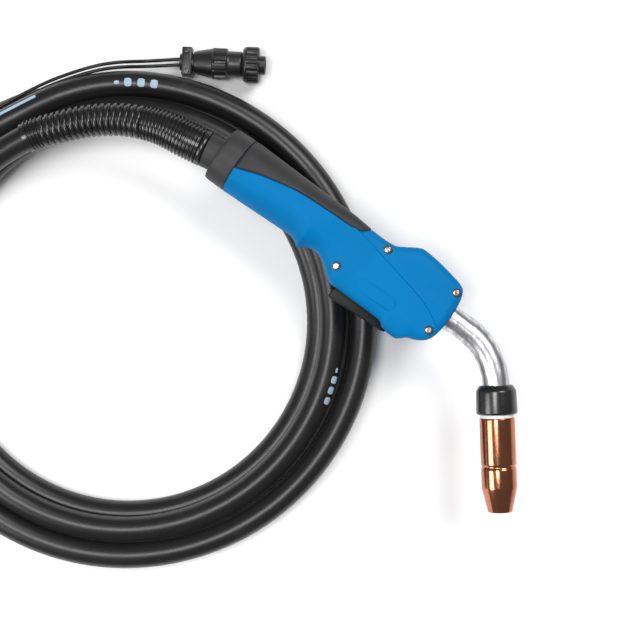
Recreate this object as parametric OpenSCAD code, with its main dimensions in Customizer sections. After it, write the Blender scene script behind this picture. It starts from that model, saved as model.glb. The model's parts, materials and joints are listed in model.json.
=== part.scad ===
// MIG welding torch: ball-swivel handle with trigger, curved neck and slip-on nozzle, on a coiled
// power cable that ends in a feeder connector and a separate round control plug.
// Millimetres. The torch lies on its side on its own coil: Z is up from the bench, X runs along the
// handle towards the neck, and the origin is where the wire leaves the contact tip.

/* [Handle] */
// Length of the grip, from the back of the collar to the start of the head
grip_l = 96; // [86:1:120]
// Length of the head, from the end of the grip to its front face
head_l = 88; // [86:1:106]
// Diameter of the grip and of the collar
grip_d = 39.2; // [38:0.2:48]
// Thickness of the flat head
head_t = 35; // [33:0.5:44]
// Thickness of the head's moulded walls
wall = 2.6; // [2:0.1:3.5]
// Length of the swivel collar
collar_l = 14.7; // [13:0.1:18]
// Depth of the blank badge recess in the side of the head
badge_depth = 0.5; // [0.3:0.1:1]

/* [Swivel] */
// Diameter of the swivel ball
ball_d = 32; // [30:0.5:33]
// Distance from the collar's back to the centre of the ball
ball_x = 13; // [12:0.5:15]
// Diameter of the smooth neck behind the ball
ball_neck_d = 23.6; // [22:0.2:25]
// Largest tilt of the cable in the swivel, each way
swivel_tilt = 15; // [8:1:16]
// Tilt of the cable in the swivel as it lies
rest_tilt = 9; // [9:1:9]
// Gap between the ball and its socket
ball_gap = 0.3; // [0.2:0.05:0.5]

/* [Trigger] */
// Length of the trigger behind its pivot
trigger_l = 41; // [36:1:46]
// Width of the trigger
trigger_w = 14; // [10:0.5:16]
// Travel of the trigger, in degrees
trigger_swing = 6.5; // [4:0.5:7]
// Diameter of the trigger's pivot pin
trigger_pin_d = 3; // [2.5:0.1:4]
// Radial clearance of the trigger on its pin
pin_gap = 0.05; // [0.02:0.01:0.1]
// Distance from the pivot back to the switch plunger
plunger_back = 12; // [11:0.5:14]
// Diameter of the switch plunger
plunger_d = 2.4; // [2:0.1:3]

/* [Neck] */
// Outside diameter of the neck armour
neck_d = 17.6; // [16.5:0.1:19]
// Wall of the neck armour
armour_wall = 1.2; // [1:0.1:1.5]
// Straight part of the neck in front of the head
neck_straight = 12.6; // [6:0.2:40]
// Bend radius of the neck's centre line
neck_bend_r = 47.2; // [38:0.2:70]
// Angle through which the neck bends
neck_bend = 53; // [30:1:60]
// Outside diameter of the inner conductor tube
conductor_d = 12; // [11:0.2:12.4]

/* [Nozzle] */
// Length of the slip-on nozzle
nozzle_l = 61.5; // [50:0.5:75]
// Outside diameter of the nozzle
nozzle_d = 23.2; // [22.6:0.1:26]
// Wall of the nozzle
nozzle_wall = 1.6; // [1.2:0.1:1.8]
// Outside diameter of the nozzle's mouth
mouth_d = 16; // [14.5:0.1:19]
// Length of the tapered end
taper_l = 16; // [10:0.5:24]
// Distance from the nozzle's mouth back to the end of the contact tip
tip_recess = 3; // [0:0.5:6]
// Length of the contact tip
tip_l = 38; // [34:0.5:44]
// Diameter of the contact tip
tip_d = 8; // [7:0.1:8.6]
// Diameter of the wire hole in the contact tip
wire_bore_d = 1.2; // [0.8:0.1:2]
// Outside diameter of the black neck insulator
insulator_d = 27; // [25:0.5:30]
// Length of the black neck insulator
insulator_l = 19; // [16:0.5:24]

/* [Cable] */
// Outside diameter of the power cable
cable_d = 17.5; // [16:0.1:17.8]
// Outside diameter of each control lead
lead_d = 2.4; // [2:0.1:2.6]

/* [Feeder connector] */
// Diameter of the connector's housing
feeder_d = 34; // [32:0.5:38]
// Length of the connector's housing
feeder_l = 72; // [64:1:84]
// Diameter of the power pin
power_pin_d = 15.9; // [14:0.1:17]
// Length of the power pin
power_pin_l = 36; // [30:1:44]

/* [Control plug] */
// Diameter of the coupling ring
coupling_d = 24.4; // [23.4:0.2:24.4]
// Length of the coupling ring
coupling_l = 11.1; // [9:0.1:14]
// Diameter of the plug's nose
nose_d = 12.9; // [12:0.1:13.5]
// Diameter of the plug's contact pins
contact_d = 1.6; // [1:0.1:2]

/* [Hidden] */
$fn = 64;
eps = 0.01;
skin = 0.05;                 // gap between moulded pieces that meet
free = 0.3;                  // gap between pieces that move past each other

// Heights: the split plane of the torch is z = 0 and the bench is floor_z below it
floor_z = -53;

// ---- Neck and nozzle places. Along the nozzle axis, distances start at the end of the neck bend.
grip_r = grip_d / 2;
front_x = grip_l + head_l;
neck_y = -2.6;
neck_r = neck_d / 2;
bend_end = [front_x + neck_straight + neck_bend_r * sin(neck_bend),
            neck_y - neck_bend_r * (1 - cos(neck_bend))];
collar_ring_l = 2.3;         // white ring that shows between the insulator and the nozzle
nozzle_s = insulator_l + collar_ring_l + 0.1;
mouth_s = nozzle_s + nozzle_l;
tip_end_s = mouth_s - tip_recess;
tip_start_s = tip_end_s - tip_l;
armour_end_s = 6;
insulation_end_s = 9;
conductor_end_s = 16;
diffuser_s = 10;
diffuser_seat_l = 11;        // depth of the contact tip's seat
diffuser_end_s = tip_start_s + diffuser_seat_l;
diffuser_r = 7.8;
sleeve_r = diffuser_r + 1.4; // outside of the white sleeve under the nozzle
origin_xy = bend_end + tip_end_s * [cos(neck_bend), -sin(neck_bend)];

// ---- Places in the head, measured from where the grip ends
pivot = [grip_l + 56, -31];
screw_spots = [[grip_l + 29.5, 9.5], [grip_l + 8.2, -18.1],
               [front_x - 6.4, 12.2], [front_x - 7.5, -17.9]];
screw_head_r = 2.2;
screw_head_h = 2.2;
screw_shank_r = 1.4;
screw_recess_r = 3.15;
screw_recess_h = 3;
boss_r = 4.1;
nut_r = 2.6;
nut_h = 2.6;
core_y = -1;                 // the grip's bore sits a little low, under the thicker top pad
core_r = 14.5;
bore_r = 12;
badge_l = 30;
badge_w = 9;
badge_at = [grip_l + 39.5, -18.5];

// ---- Switch, in the head above the trigger
switch_l = 20;
switch_h = 10;
switch_w = 6.4;
switch_y = -24;
plunger_reach = 2.8;
plunger_travel = plunger_back * sin(trigger_swing);
trigger_top = -27.2;

// ---- Coil, about its own centre: angles from the handle's axis, radii, and heights above z = 0
coil_at = [8.3, -129.3];
coil_in_r = 123;
coil_out_r = 172;
coil_top_z = floor_z + 32.7;
cable_r = cable_d / 2;
bore_gap = 0.5;              // round a cable in its bore

// Where the cable leaves the ball, then the strain relief, in handle places
relief_route = [[-9, -3.5, 0], [-25, -6, 0], [-42, -9, -0.5], [-64, -18, -2], [-83, -31.5, -4],
                [-99, -48, -6.5], [-113, -66, -8.5]];
// From the strain relief down into the coil: angle about the coil, radius, height
lead_route = [[165, 138, -11], [177, 139, -17], [190, 140.5, -24], [200, 141, -28]];
// From the coil up to the feeder connector: angle, radius, height
tail_route = [[153, 157.5, -29], [165, 159, -26.5], [177, 161, -20], [190, 160.5, -12.5], [200, 157, -6]];
// Control leads, from the plug to the feeder connector: handle places first, then about the coil
lead_start = [[-74, 30, -41], [-84, 21.5, -38]];
lead_round = [[126.5, 174, -28], [132, 172, -25.5], [140, 170, -28.5], [147, 169, -32], [156, 168.5, -34],
              [166, 171, -31], [174, 173.5, -20.5], [182, 174, -11.5], [190, 172, -4.5], [198, 167.5, 4],
              [204, 160, 9.5]];
lead_height = 14.9;          // height of the leads above the feeder connector's axis
lead_depth = 8;              // how far they run into its housing

// Feeder connector, lying on the coil: its axis passes feeder_off from the coil's centre
feeder_turn = 232;
feeder_off = 138;
feeder_back = 64;            // from the middle of that line back to the end of its strain relief
feeder_relief_l = 20;
feeder_r = feeder_d / 2;
feeder_z = coil_top_z + feeder_r + 0.1;
feeder_heading = feeder_turn + 90;
feeder_wall = 2.8;
feeder_screw_at = [18, 54];
feeder_screw_y = 12;
feeder_at = coil_at + feeder_off * [cos(feeder_turn), sin(feeder_turn)]
    - feeder_back * [cos(feeder_heading), sin(feeder_heading)];

// Control plug, lying on the bench beside the coil
plug_at = [-64.4, 37.5];
plug_heading = 32.5;
plug_clamp_l = 9.6;
plug_cone_l = 13;
plug_grip_l = 9.6;
plug_neck_l = 10.6;
plug_barrel_s = plug_clamp_l + plug_cone_l + plug_grip_l + plug_neck_l;
plug_nose_l = 4.6;
plug_grip_r = 10.3;
plug_neck_r = 8.7;
plug_bore_r = 4.6;
plug_z = floor_z + coupling_d / 2 + 0.05;
coupling_s = plug_barrel_s + free;
plug_end_s = coupling_s + coupling_l + plug_nose_l;
lead_side = 2;               // half the spacing of the two control leads

// ================= Frames =================

// Handle places to the part's own frame
module placed() translate([-origin_xy[0], -origin_xy[1], 0]) children();

// Z along the nozzle's axis, from the end of the neck bend
module at_nozzle(s = 0) placed()
    translate([bend_end[0], bend_end[1], 0]) rotate([0, 90, -neck_bend]) translate([0, 0, s]) children();

// Z along the feeder connector's axis, from the end of its strain relief; X points down to the bench
module at_feeder(s = 0) placed()
    translate([feeder_at[0], feeder_at[1], feeder_z]) rotate([0, 90, feeder_heading])
    translate([0, 0, s]) children();

// Z along the control plug's axis, from its back end
module at_plug(s = 0) placed()
    translate([plug_at[0], plug_at[1], plug_z]) rotate([0, 90, plug_heading])
    translate([0, 0, s]) children();

// Z along the swivel's axis, from the ball's centre back towards the cable
module at_ball(s = 0) placed()
    translate([ball_x, 0, 0]) rotate([0, -90, rest_tilt]) translate([0, 0, s]) children();

// Round bar along the handle's X axis
module bar(x0, x1, r, y = 0) translate([x0, y, 0]) rotate([0, 90, 0]) cylinder(r = r, h = x1 - x0);

module ring(r_out, r_in, h) difference() {
    cylinder(r = r_out, h = h);
    translate([0, 0, -1]) cylinder(r = r_in, h = h + 2);
}

// ================= Cords =================

function unit(v) = v / norm(v);
function about_coil(p) = [coil_at[0] + p[1] * cos(p[0]), coil_at[1] + p[1] * sin(p[0]), p[2]];
function handle_place(s, r, at, heading, z, side) =
    [at[0] + s * cos(heading) - side * sin(heading), at[1] + s * sin(heading) + side * cos(heading), z + r];

// Smooth curve through the points p, at parameter t from 0 to len(p) - 1
function along(p, t) =
    let (n = len(p) - 1, i = min(floor(t), n - 1), f = t - i, b = p[i], c = p[i + 1],
         a = i > 0 ? p[i - 1] : 2 * b - c, d = i + 2 <= n ? p[i + 2] : 2 * c - b)
    0.5 * (2 * b + (c - a) * f + (2 * a - 5 * b + 4 * c - d) * f * f + (3 * b - a - 3 * c + d) * f * f * f);
function smooth(p, steps) = [for (k = [0 : (len(p) - 1) * steps]) along(p, k / steps)];
function heading_at(p, i) = unit(p[min(i + 1, len(p) - 1)] - p[max(i - 1, 0)]);
function side_at(p, i) = unit(cross([0, 0, 1], heading_at(p, i)));
function ring_at(p, i, r, sides) =
    let (s = side_at(p, i), w = cross(heading_at(p, i), s))
    [for (k = [0 : sides - 1]) p[i] + r * (cos(360 * k / sides) * s + sin(360 * k / sides) * w)];

// Tube of radius r[i] swept through the points p
module swept(p, r, sides) {
    n = len(p);
    polyhedron(
        points = [for (i = [0 : n - 1]) each ring_at(p, i, r[i], sides)],
        faces = concat(
            [[for (k = [0 : sides - 1]) k]],
            [for (i = [0 : n - 2], k = [0 : sides - 1]) let (m = (k + 1) % sides)
                each [[i * sides + k, (i + 1) * sides + k, (i + 1) * sides + m],
                      [i * sides + k, (i + 1) * sides + m, i * sides + m]]],
            [[for (k = [sides - 1 : -1 : 0]) (n - 1) * sides + k]]));
}
module cord(p, r, sides) swept(p, [for (q = p) r], sides);

// ================= Handle shells =================

// Side outline of the handle, seen from above as it lies
module handle_outline() polygon(concat(
    [[collar_l + skin, -20.5], [collar_l + skin, 20]],
    [[grip_l - 3, 16.4], [grip_l + 15, 14.7], [grip_l + 23.3, 14.3], [grip_l + 30.8, 14.7],
     [grip_l + 38, 18.1], [grip_l + 44.8, 22.3], [grip_l + 48.6, 23.7]],
    [[front_x - 10, 19.5], [front_x - 4, 17], [front_x - 1.7, 12.8], [front_x - 0.3, 5.2],
     [front_x - 0.6, -10.6], [front_x - 2.2, -19.5], [front_x - 5.5, -24.5], [front_x - 11, -27.9],
     [front_x - 15.5, -29.2]],
    [[grip_l + 66, -34.2], [grip_l + 58.7, -33.8], [grip_l + 53.5, -30.4], [grip_l + 12, -29.3],
     [grip_l + 6, -25.9], [grip_l - 1, -20.2], [grip_l - 10, -17.5], [grip_l - 17.3, -20.1],
     [grip_l - 20.7, -22.4], [grip_l - 23, -20.6], [grip_l - 29, -18.4], [grip_l - 38, -18.6]]));

// Where the soft pad takes the place of the shell
module pad_outline() polygon([[collar_l + skin, -4.1], [grip_l - 60, 2.7], [grip_l - 32.5, 7.5],
    [grip_l - 12.6, 8.1], [grip_l + 0.6, 8.3], [grip_l + 7, 9.2], [grip_l + 12, 12.1],
    [grip_l + 14, 15.2], [grip_l + 14, 30], [collar_l + skin, 30]]);

// Cross-section of the head, its long edges chamfered
module head_section(y0 = -40, y1 = 30, half = head_t / 2, cut = 4) polygon([
    [y0, -half + cut], [-30, -half + 1], [-26, -half], [17, -half], [24, -half + cut], [y1, -half + cut + 3],
    [y1, half - cut - 3], [24, half - cut], [17, half], [-26, half], [-30, half - 1], [y0, half - cut]]);
module along_x(x0, x1) translate([x0, 0, 0]) rotate([90, 0, 90]) linear_extrude(x1 - x0) children();

// Outer form of the whole handle
module handle_form() intersection() {
    translate([0, 0, -grip_r]) linear_extrude(grip_d) handle_outline();
    union() {
        bar(collar_l, grip_l - 6, grip_r);
        along_x(grip_l - 12, front_x + 1) head_section();
    }
}
// Space inside the two shells
module handle_hollow() {
    bar(collar_l - 1, grip_l + 2, bore_r, core_y);
    intersection() {
        translate([0, 0, -grip_r]) linear_extrude(grip_d)
            polygon([[grip_l, -14], [grip_l + 14, -22], [grip_l + 15, -26], [grip_l + 52, -27],
                     [front_x - 15, -25], [front_x - wall - 1, -17], [front_x - wall - 1, 12],
                     [front_x - 10, 16], [grip_l + 47, 19], [grip_l + 32, 11], [grip_l, 10.5]]);
        translate([grip_l, -40, wall - head_t / 2]) cube([head_l, 80, head_t - 2 * wall]);
    }
}
// Slot that the trigger swings in, open below the head
trigger_slot_w = trigger_w + 2 * free + 0.4;
module trigger_slot() translate([0, 0, -trigger_slot_w / 2]) linear_extrude(trigger_slot_w)
    polygon([[pivot[0] - trigger_l - 2, -20], [pivot[0] - trigger_l - 2, -45], [pivot[0] + 3, -45],
             [pivot[0] + 6.2, -33], [pivot[0] + 6.2, -26], [pivot[0] - 2, -22]]);
// Seat of the swivel ball, its poles on the handle's axis
module ball_seat() translate([ball_x, 0, 0]) rotate([0, 90, 0]) sphere(r = ball_d / 2 + ball_gap);
module shell_cuts() {
    placed() trigger_slot();
    placed() bar(front_x - wall - 2, front_x + 2, neck_r + skin, neck_y);
    placed() ball_seat();
    placed() translate([pivot[0], pivot[1], -head_t]) cylinder(d = trigger_pin_d + 4 * skin, h = 2 * head_t);
    for (p = screw_spots) placed() translate([p[0], p[1], 0]) {
        translate([0, 0, -head_t]) cylinder(r = screw_shank_r + 2 * skin, h = 2 * head_t);
        translate([0, 0, head_t / 2 - screw_recess_h]) cylinder(r = screw_recess_r, h = grip_r);
        translate([0, 0, -head_t]) cylinder(r = nut_r + 2 * skin, h = head_t / 2 + nut_h + 0.6);
    }
}
module pad_space(gap) placed() difference() {
    translate([0, 0, -grip_r - 1]) linear_extrude(grip_d + 2) offset(delta = gap) pad_outline();
    bar(0, 2 * ball_x + 8, ball_d / 2 + 1.5 - gap);
    bar(0, grip_l + 40, core_r - gap, core_y);
}
// One half of the handle: side 1 is the half that lies on top, side -1 the half beneath
module half_space(side) placed() translate([-10, -60, side > 0 ? 0 : -40]) cube([front_x + 20, 120, 40]);
module shell(side) difference() {
    intersection() {
        union() {
            difference() {
                placed() handle_form();
                placed() handle_hollow();
            }
            for (p = screw_spots) placed()
                translate([p[0], p[1], -head_t / 2 + 1]) cylinder(r = boss_r, h = head_t - 2);
        }
        half_space(side);
    }
    shell_cuts();
    pad_space(skin);
    placed() badge_recess();
}
module badge_recess() translate([badge_at[0], badge_at[1], head_t / 2 - badge_depth]) {
    translate([-badge_l / 2 + badge_w / 2, -badge_w / 2, 0]) cube([badge_l - badge_w, badge_w, 2]);
    for (x = [-1, 1]) translate([x * (badge_l - badge_w) / 2, 0, 0]) cylinder(d = badge_w, h = 2);
}
module shell_right() color("dodgerblue") shell(1);
module shell_left() color("dodgerblue") shell(-1);

module grip_pad(side) color("dimgray") intersection() {
    placed() handle_form();
    pad_space(0);
    half_space(side);
}

// Bar around the ball: it holds the ball in from behind
module swivel_collar() color("dimgray") difference() {
    placed() bar(0, collar_l, grip_r - 0.2);
    placed() ball_seat();
    // The mouth opens as a cone so that the neck can tilt
    placed() translate([ball_x, 0, 0]) rotate([0, -90, 0])
        cylinder(r1 = mouth_r(0), r2 = mouth_r(ball_x + 1), h = ball_x + 1);
}
function mouth_r(s) = s * tan(swivel_tilt) + ball_neck_d / 2 / cos(swivel_tilt) + free;

module shell_screws() color("silver") for (p = screw_spots)
    placed() translate([p[0], p[1], head_t / 2 - screw_recess_h + skin]) difference() {
        union() {
            cylinder(r = screw_head_r, h = screw_head_h);
            translate([0, 0, screw_recess_h - head_t + 1]) cylinder(r = screw_shank_r, h = head_t - screw_recess_h);
        }
        translate([0, 0, screw_head_h - 1.2]) cylinder(r = 1.2, h = 2, $fn = 6);
    }
module shell_nuts() color("silver") for (p = screw_spots)
    placed() translate([p[0], p[1], skin - head_t / 2]) difference() {
        cylinder(r = nut_r, h = nut_h, $fn = 6);
        translate([0, 0, -1]) cylinder(r = screw_shank_r + skin, h = nut_h + 2);
    }

// ================= Trigger and switch =================

module trigger() color([0.16, 0.16, 0.17]) difference() {
    placed() {
        translate([pivot[0], pivot[1], -trigger_w / 2]) linear_extrude(trigger_w)
            polygon([[-trigger_l - 0.4, -5.6], [-trigger_l + 2, -6], [1.5, -4.4], [3.6, -2], [0, trigger_top - pivot[1]],
                     [-trigger_l, trigger_top - pivot[1]]]);
        translate([pivot[0], pivot[1], -trigger_w / 2]) cylinder(r = 4.4, h = trigger_w);
    }
    // Hollow behind the blade, open towards the head
    placed() translate([pivot[0] - trigger_l + 2, pivot[1] - 3, 1.8 - trigger_w / 2])
        cube([trigger_l - plunger_back - 6, 12, trigger_w - 3.6]);
    placed() translate([pivot[0], pivot[1], -trigger_w])
        cylinder(r = trigger_pin_d / 2 + pin_gap, h = 2 * trigger_w);
    // Pocket for the torsion spring
    placed() translate([pivot[0], pivot[1], spring_z0]) ring(6, trigger_pin_d / 2 + 1, trigger_w);
}
spring_wire_r = 0.45;
spring_turns = 3;
spring_z0 = trigger_w / 2 - 2 * spring_wire_r * spring_turns - 0.2;
spring_coil_r = trigger_pin_d / 2 + 1.9;
module trigger_spring() color("silver") placed() translate([pivot[0], pivot[1], spring_z0 + 0.1]) {
    for (k = [0 : spring_turns - 1]) translate([0, 0, spring_wire_r * (2 * k + 1)])
        rotate_extrude() translate([spring_coil_r, 0]) circle(r = spring_wire_r, $fn = 20);
}
module trigger_pin() color("silver") placed()
    translate([pivot[0], pivot[1], -head_t / 2 + 5]) cylinder(d = trigger_pin_d, h = head_t - 10);

switch_x = pivot[0] - plunger_back;
module switch_body() color("black") difference() {
    placed() translate([switch_x - 13, switch_y, -switch_w / 2]) cube([switch_l, switch_h, switch_w]);
    placed() translate([switch_x, switch_y - 1, 0]) rotate([-90, 0, 0])
        cylinder(d = plunger_d + 2 * free, h = 1 + plunger_travel + 3.5);
}
module switch_plunger() color("tomato") placed() translate([switch_x, switch_y - plunger_reach, 0])
    rotate([-90, 0, 0]) cylinder(d = plunger_d, h = plunger_reach + 2.5);
module switch_terminals() color("gold") placed() for (x = [-11, -5, 5])
    translate([switch_x + x, switch_y + switch_h, -1.4]) cube([0.5, 3.5, 2.8]);

// ================= Power path in the handle, neck =================

crimp_x = grip_l + 4;
block_x = front_x - 44;
block_l = 24;
module inner_cable() color([0.12, 0.12, 0.12]) placed()
    bar(ball_x + ball_d / 2 + 1.2, crimp_x, cable_r, core_y - 0.5);
module crimp_sleeve() color("orange") placed() bar(crimp_x + skin, block_x - skin, 6.5, neck_y);
module neck_block() color("goldenrod") placed() difference() {
    translate([block_x, neck_y, 0]) rotate([0, 90, 0]) cylinder(r = 8.4, h = block_l, $fn = 6);
    bar(block_x + 8, block_x + block_l + 1, conductor_d / 2 + skin, neck_y);
}
// Bar that follows the neck: back from the head's front face, and past the bend
// The straight ends reach a little way into the bend, a hair thinner, so that all three are one.
neck_lap = 0.6;
neck_hair = 0.02;
module neck_bar(r, back, past) placed() {
    bar(front_x - back, front_x + neck_straight + neck_lap, r - neck_hair, neck_y);
    translate([front_x + neck_straight, neck_y - neck_bend_r, 0]) rotate([0, 0, 90 - neck_bend])
        rotate_extrude(angle = neck_bend) translate([neck_bend_r, 0]) circle(r = r);
    translate([bend_end[0], bend_end[1], 0]) rotate([0, 90, -neck_bend])
        translate([0, 0, -neck_lap]) cylinder(r = r - neck_hair, h = past + neck_lap);
}
module neck_tube(r_out, r_in, back, past) difference() {
    neck_bar(r_out, back, past);
    neck_bar(r_in, back + 1, past + 1);
}
armour_back = front_x - block_x - block_l - 0.1;
conductor_back = front_x - block_x - 8.2;
liner_r = 2.2;
module neck_armour() color("silver") neck_tube(neck_r, neck_r - armour_wall, armour_back, armour_end_s);
module neck_insulation() color("ivory")
    neck_tube(neck_r - armour_wall - skin, conductor_d / 2 + skin, armour_back, insulation_end_s);
module neck_conductor() color("orange") neck_tube(conductor_d / 2, 3.1, conductor_back, conductor_end_s);
module wire_liner() color("gray") neck_tube(liner_r, 1, conductor_back - 0.2, tip_start_s - 0.2);

// ================= Front end =================

module nozzle_insulator() color([0.1, 0.1, 0.1]) at_nozzle() difference() {
    rotate_extrude() polygon([[0, 0], [neck_r + 1.6, 0], [insulator_d / 2 - 0.6, 4], [insulator_d / 2, 6],
        [insulator_d / 2, insulator_l - 1], [insulator_d / 2 - 1, insulator_l], [0, insulator_l]]);
    translate([0, 0, -1]) cylinder(r = neck_r + skin, h = 1 + armour_end_s + 0.1);
    cylinder(r = neck_r - armour_wall + skin, h = insulation_end_s + 0.1);
    cylinder(r = diffuser_r + skin, h = insulator_l + 1);
}
module white_insulator() color("white") at_nozzle(insulator_l + 0.05) {
    ring(nozzle_d / 2 - 0.6, diffuser_r + skin, collar_ring_l);
    translate([0, 0, collar_ring_l - eps]) ring(sleeve_r, diffuser_r + skin, 16);
}
module gas_diffuser() color("goldenrod") at_nozzle() difference() {
    translate([0, 0, diffuser_s]) union() {
        cylinder(r = diffuser_r, h = diffuser_end_s - diffuser_s - 3);
        translate([0, 0, diffuser_end_s - diffuser_s - 3]) cylinder(r1 = diffuser_r, r2 = tip_d / 2 + 1.6, h = 3);
    }
    translate([0, 0, diffuser_s - 1]) cylinder(r = conductor_d / 2 + skin, h = conductor_end_s + 1.2 - diffuser_s);
    cylinder(r = 3.1, h = tip_start_s + 1);
    translate([0, 0, tip_start_s - 0.1]) cylinder(r = tip_d / 2 + skin, h = diffuser_seat_l + 1);
    for (a = [0 : 60 : 300]) rotate([0, 90, a]) translate([4.5 - tip_start_s, 0, 2]) cylinder(r = 1, h = 8, $fn = 24);
}
module contact_tip() color("peru") at_nozzle(tip_start_s) difference() {
    union() {
        cylinder(r = tip_d / 2, h = tip_l - 8);
        translate([0, 0, tip_l - 8]) cylinder(r1 = tip_d / 2, r2 = tip_d / 2 - 1.4, h = 8);
    }
    translate([0, 0, -1]) cylinder(r = wire_bore_d / 2, h = tip_l + 2);
}
groove_s = nozzle_l - 29.8;  // rolled groove, measured from the nozzle's back end
module nozzle() color("peru") at_nozzle(nozzle_s) rotate_extrude() polygon([
    [nozzle_d / 2 - nozzle_wall, 0], [nozzle_d / 2 - 0.3, 0], [nozzle_d / 2, 0.4],
    [nozzle_d / 2, groove_s - 2.2], [nozzle_d / 2 - 0.7, groove_s - 0.8], [nozzle_d / 2 - 0.7, groove_s + 0.8],
    [nozzle_d / 2, groove_s + 2.2], [nozzle_d / 2, nozzle_l - taper_l], [mouth_d / 2, nozzle_l],
    [mouth_d / 2 - nozzle_wall, nozzle_l], [nozzle_d / 2 - nozzle_wall, nozzle_l - taper_l]]);
module nozzle_insert() color("gold") at_nozzle(nozzle_s + 0.3)
    ring(nozzle_d / 2 - nozzle_wall - 0.02, sleeve_r + free, 15);

// ================= Swivel, cable and coil =================

ball_front = ball_d / 2 * 0.8;
ball_neck_s = ball_x / cos(rest_tilt) + 9.1;
relief_s = ball_neck_s + 0.4;
relief_start = [ball_x - relief_s * cos(rest_tilt), -relief_s * sin(rest_tilt), 0];
module swivel_ball() color([0.15, 0.15, 0.15]) at_ball() difference() {
    union() {
        intersection() {
            sphere(r = ball_d / 2);
            translate([0, 0, -ball_front]) cylinder(r = ball_d, h = ball_front + ball_d / 2);
        }
        cylinder(r = ball_neck_d / 2, h = ball_neck_s);
    }
    translate([0, 0, -ball_d]) cylinder(r = cable_r + bore_gap, h = 3 * ball_d);
}
relief_path = smooth(concat([relief_start], [for (k = [1 : len(relief_route) - 1]) relief_route[k]]), 6);
relief_n = len(relief_path);
function relief_r(i) = ball_neck_d / 2 + 1 - 2.4 * min(1, i / (relief_n * 0.4)) + (i % 2) * 0.7;
module strain_relief() color([0.08, 0.08, 0.08]) placed() difference() {
    swept(relief_path, [for (i = [0 : relief_n - 1]) relief_r(i)], 20);
    cord(concat([relief_path[0] + [1, 0, 0]], relief_path, [relief_path[relief_n - 1] + [-1, -1.3, -0.2]]),
         cable_r + bore_gap, 12);
}
ball_inside = [ball_x + ball_front - 1, 0.16 * ball_front, 0];
lead_path = concat([ball_inside, [ball_x, 0, 0]], smooth(concat([relief_start],
    [for (k = [1 : len(relief_route) - 1]) relief_route[k]], [for (p = lead_route) about_coil(p)]), 2));
module cable_lead() color([0.14, 0.14, 0.14]) placed() cord(lead_path, cable_r, 12);

module cable_coil() color([0.14, 0.14, 0.14]) placed() translate([coil_at[0], coil_at[1], 0]) rotate_extrude()
    polygon([[coil_in_r + 5, floor_z], [coil_in_r, floor_z + 7], [coil_in_r + 9, coil_top_z],
             [coil_out_r - 8, coil_top_z], [coil_out_r, coil_top_z - 10], [coil_out_r, floor_z + 8],
             [coil_out_r - 5, floor_z]]);

feeder_start = handle_place(-3, 0, feeder_at, feeder_heading, feeder_z, 0);
feeder_inside = handle_place(feeder_relief_l + 12, 0, feeder_at, feeder_heading, feeder_z, 0);
tail_path = concat(smooth(concat([for (p = tail_route) about_coil(p)], [feeder_start,
    handle_place(1, 0, feeder_at, feeder_heading, feeder_z, 0)]), 2), [feeder_inside]);
module cable_tail() color([0.14, 0.14, 0.14]) placed() cord(tail_path, cable_r, 12);

// ================= Feeder connector =================

module feeder_relief() color([0.1, 0.1, 0.1]) at_feeder() difference() {
    union() {
        cylinder(r1 = cable_r + 2.2, r2 = cable_r + 4.6, h = feeder_relief_l - skin);
        for (k = [0 : 3]) translate([0, 0, 2 + 4.2 * k]) cylinder(r = cable_r + 3 + 0.5 * k, h = 2.4);
    }
    translate([0, 0, -1]) cylinder(r = cable_r + bore_gap, h = feeder_relief_l + 2);
}
// Housing in two halves that meet on a level plane; screws run down through side lugs
module feeder_form() {
    rotate_extrude() polygon([[0, 0], [feeder_r - 4, 0], [feeder_r, 6], [feeder_r, feeder_l - 12],
        [feeder_r - 2, feeder_l - 9], [feeder_r - 2, feeder_l - 4], [feeder_r - 4, feeder_l], [0, feeder_l]]);
}
module feeder_hollow() {
    translate([0, 0, -1]) cylinder(r = cable_r + bore_gap, h = feeder_l);
    translate([0, 0, 14 + skin]) cylinder(r = cable_r + 3.4, h = feeder_l - 14 - 16);
    translate([0, 0, feeder_l - 12]) cylinder(r = pin_seat_r + skin, h = 20);
    translate([0, 0, feeder_l - 12 - skin]) cylinder(r = power_pin_d / 2 + 2.5 + skin, h = 6 + 2 * skin);
}
module feeder_screw_hole(s) {
    for (y = [-1, 1]) translate([0, y * 14.6, s]) rotate([0, 90, 0]) {
        translate([0, 0, -feeder_d]) cylinder(r = 1.25, h = 2 * feeder_d);
        translate([0, 0, -feeder_d]) cylinder(r = 2.3, h = feeder_d - 5.5);
        translate([0, 0, 4]) cylinder(r = 2.3, h = feeder_d);
    }
}
module feeder_half(side) color([0.12, 0.12, 0.12]) at_feeder(feeder_relief_l) difference() {
    intersection() {
        feeder_form();
        translate([side > 0 ? -feeder_d : 0, -feeder_d, -1]) cube([feeder_d, 2 * feeder_d, feeder_l + 2]);
    }
    feeder_hollow();
    for (s = feeder_screw_at) feeder_screw_hole(s);
    // Entry of the two control leads
    for (y = [-1, 1]) translate([-lead_height, y * lead_side, -1]) cylinder(r = lead_d / 2 + 0.4, h = lead_depth + 2);
    // Access to the screw that locks the wire liner
    rotate([0, -90, 0]) translate([feeder_l - 9, 0, 0]) cylinder(r = 2.2, h = feeder_d);
}
module feeder_screws() color("silver") at_feeder(feeder_relief_l)
    for (s = feeder_screw_at, y = [-1, 1]) translate([-5.55, y * 14.6, s]) rotate([0, 90, 0]) difference() {
        union() {
            translate([0, 0, -2]) cylinder(r = 2.1, h = 2);
            translate([0, 0, -eps]) cylinder(r = 1.15, h = 11.4);
        }
        translate([0, 0, -2.5]) cylinder(r = 1.1, h = 1.4, $fn = 6);
    }
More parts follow.
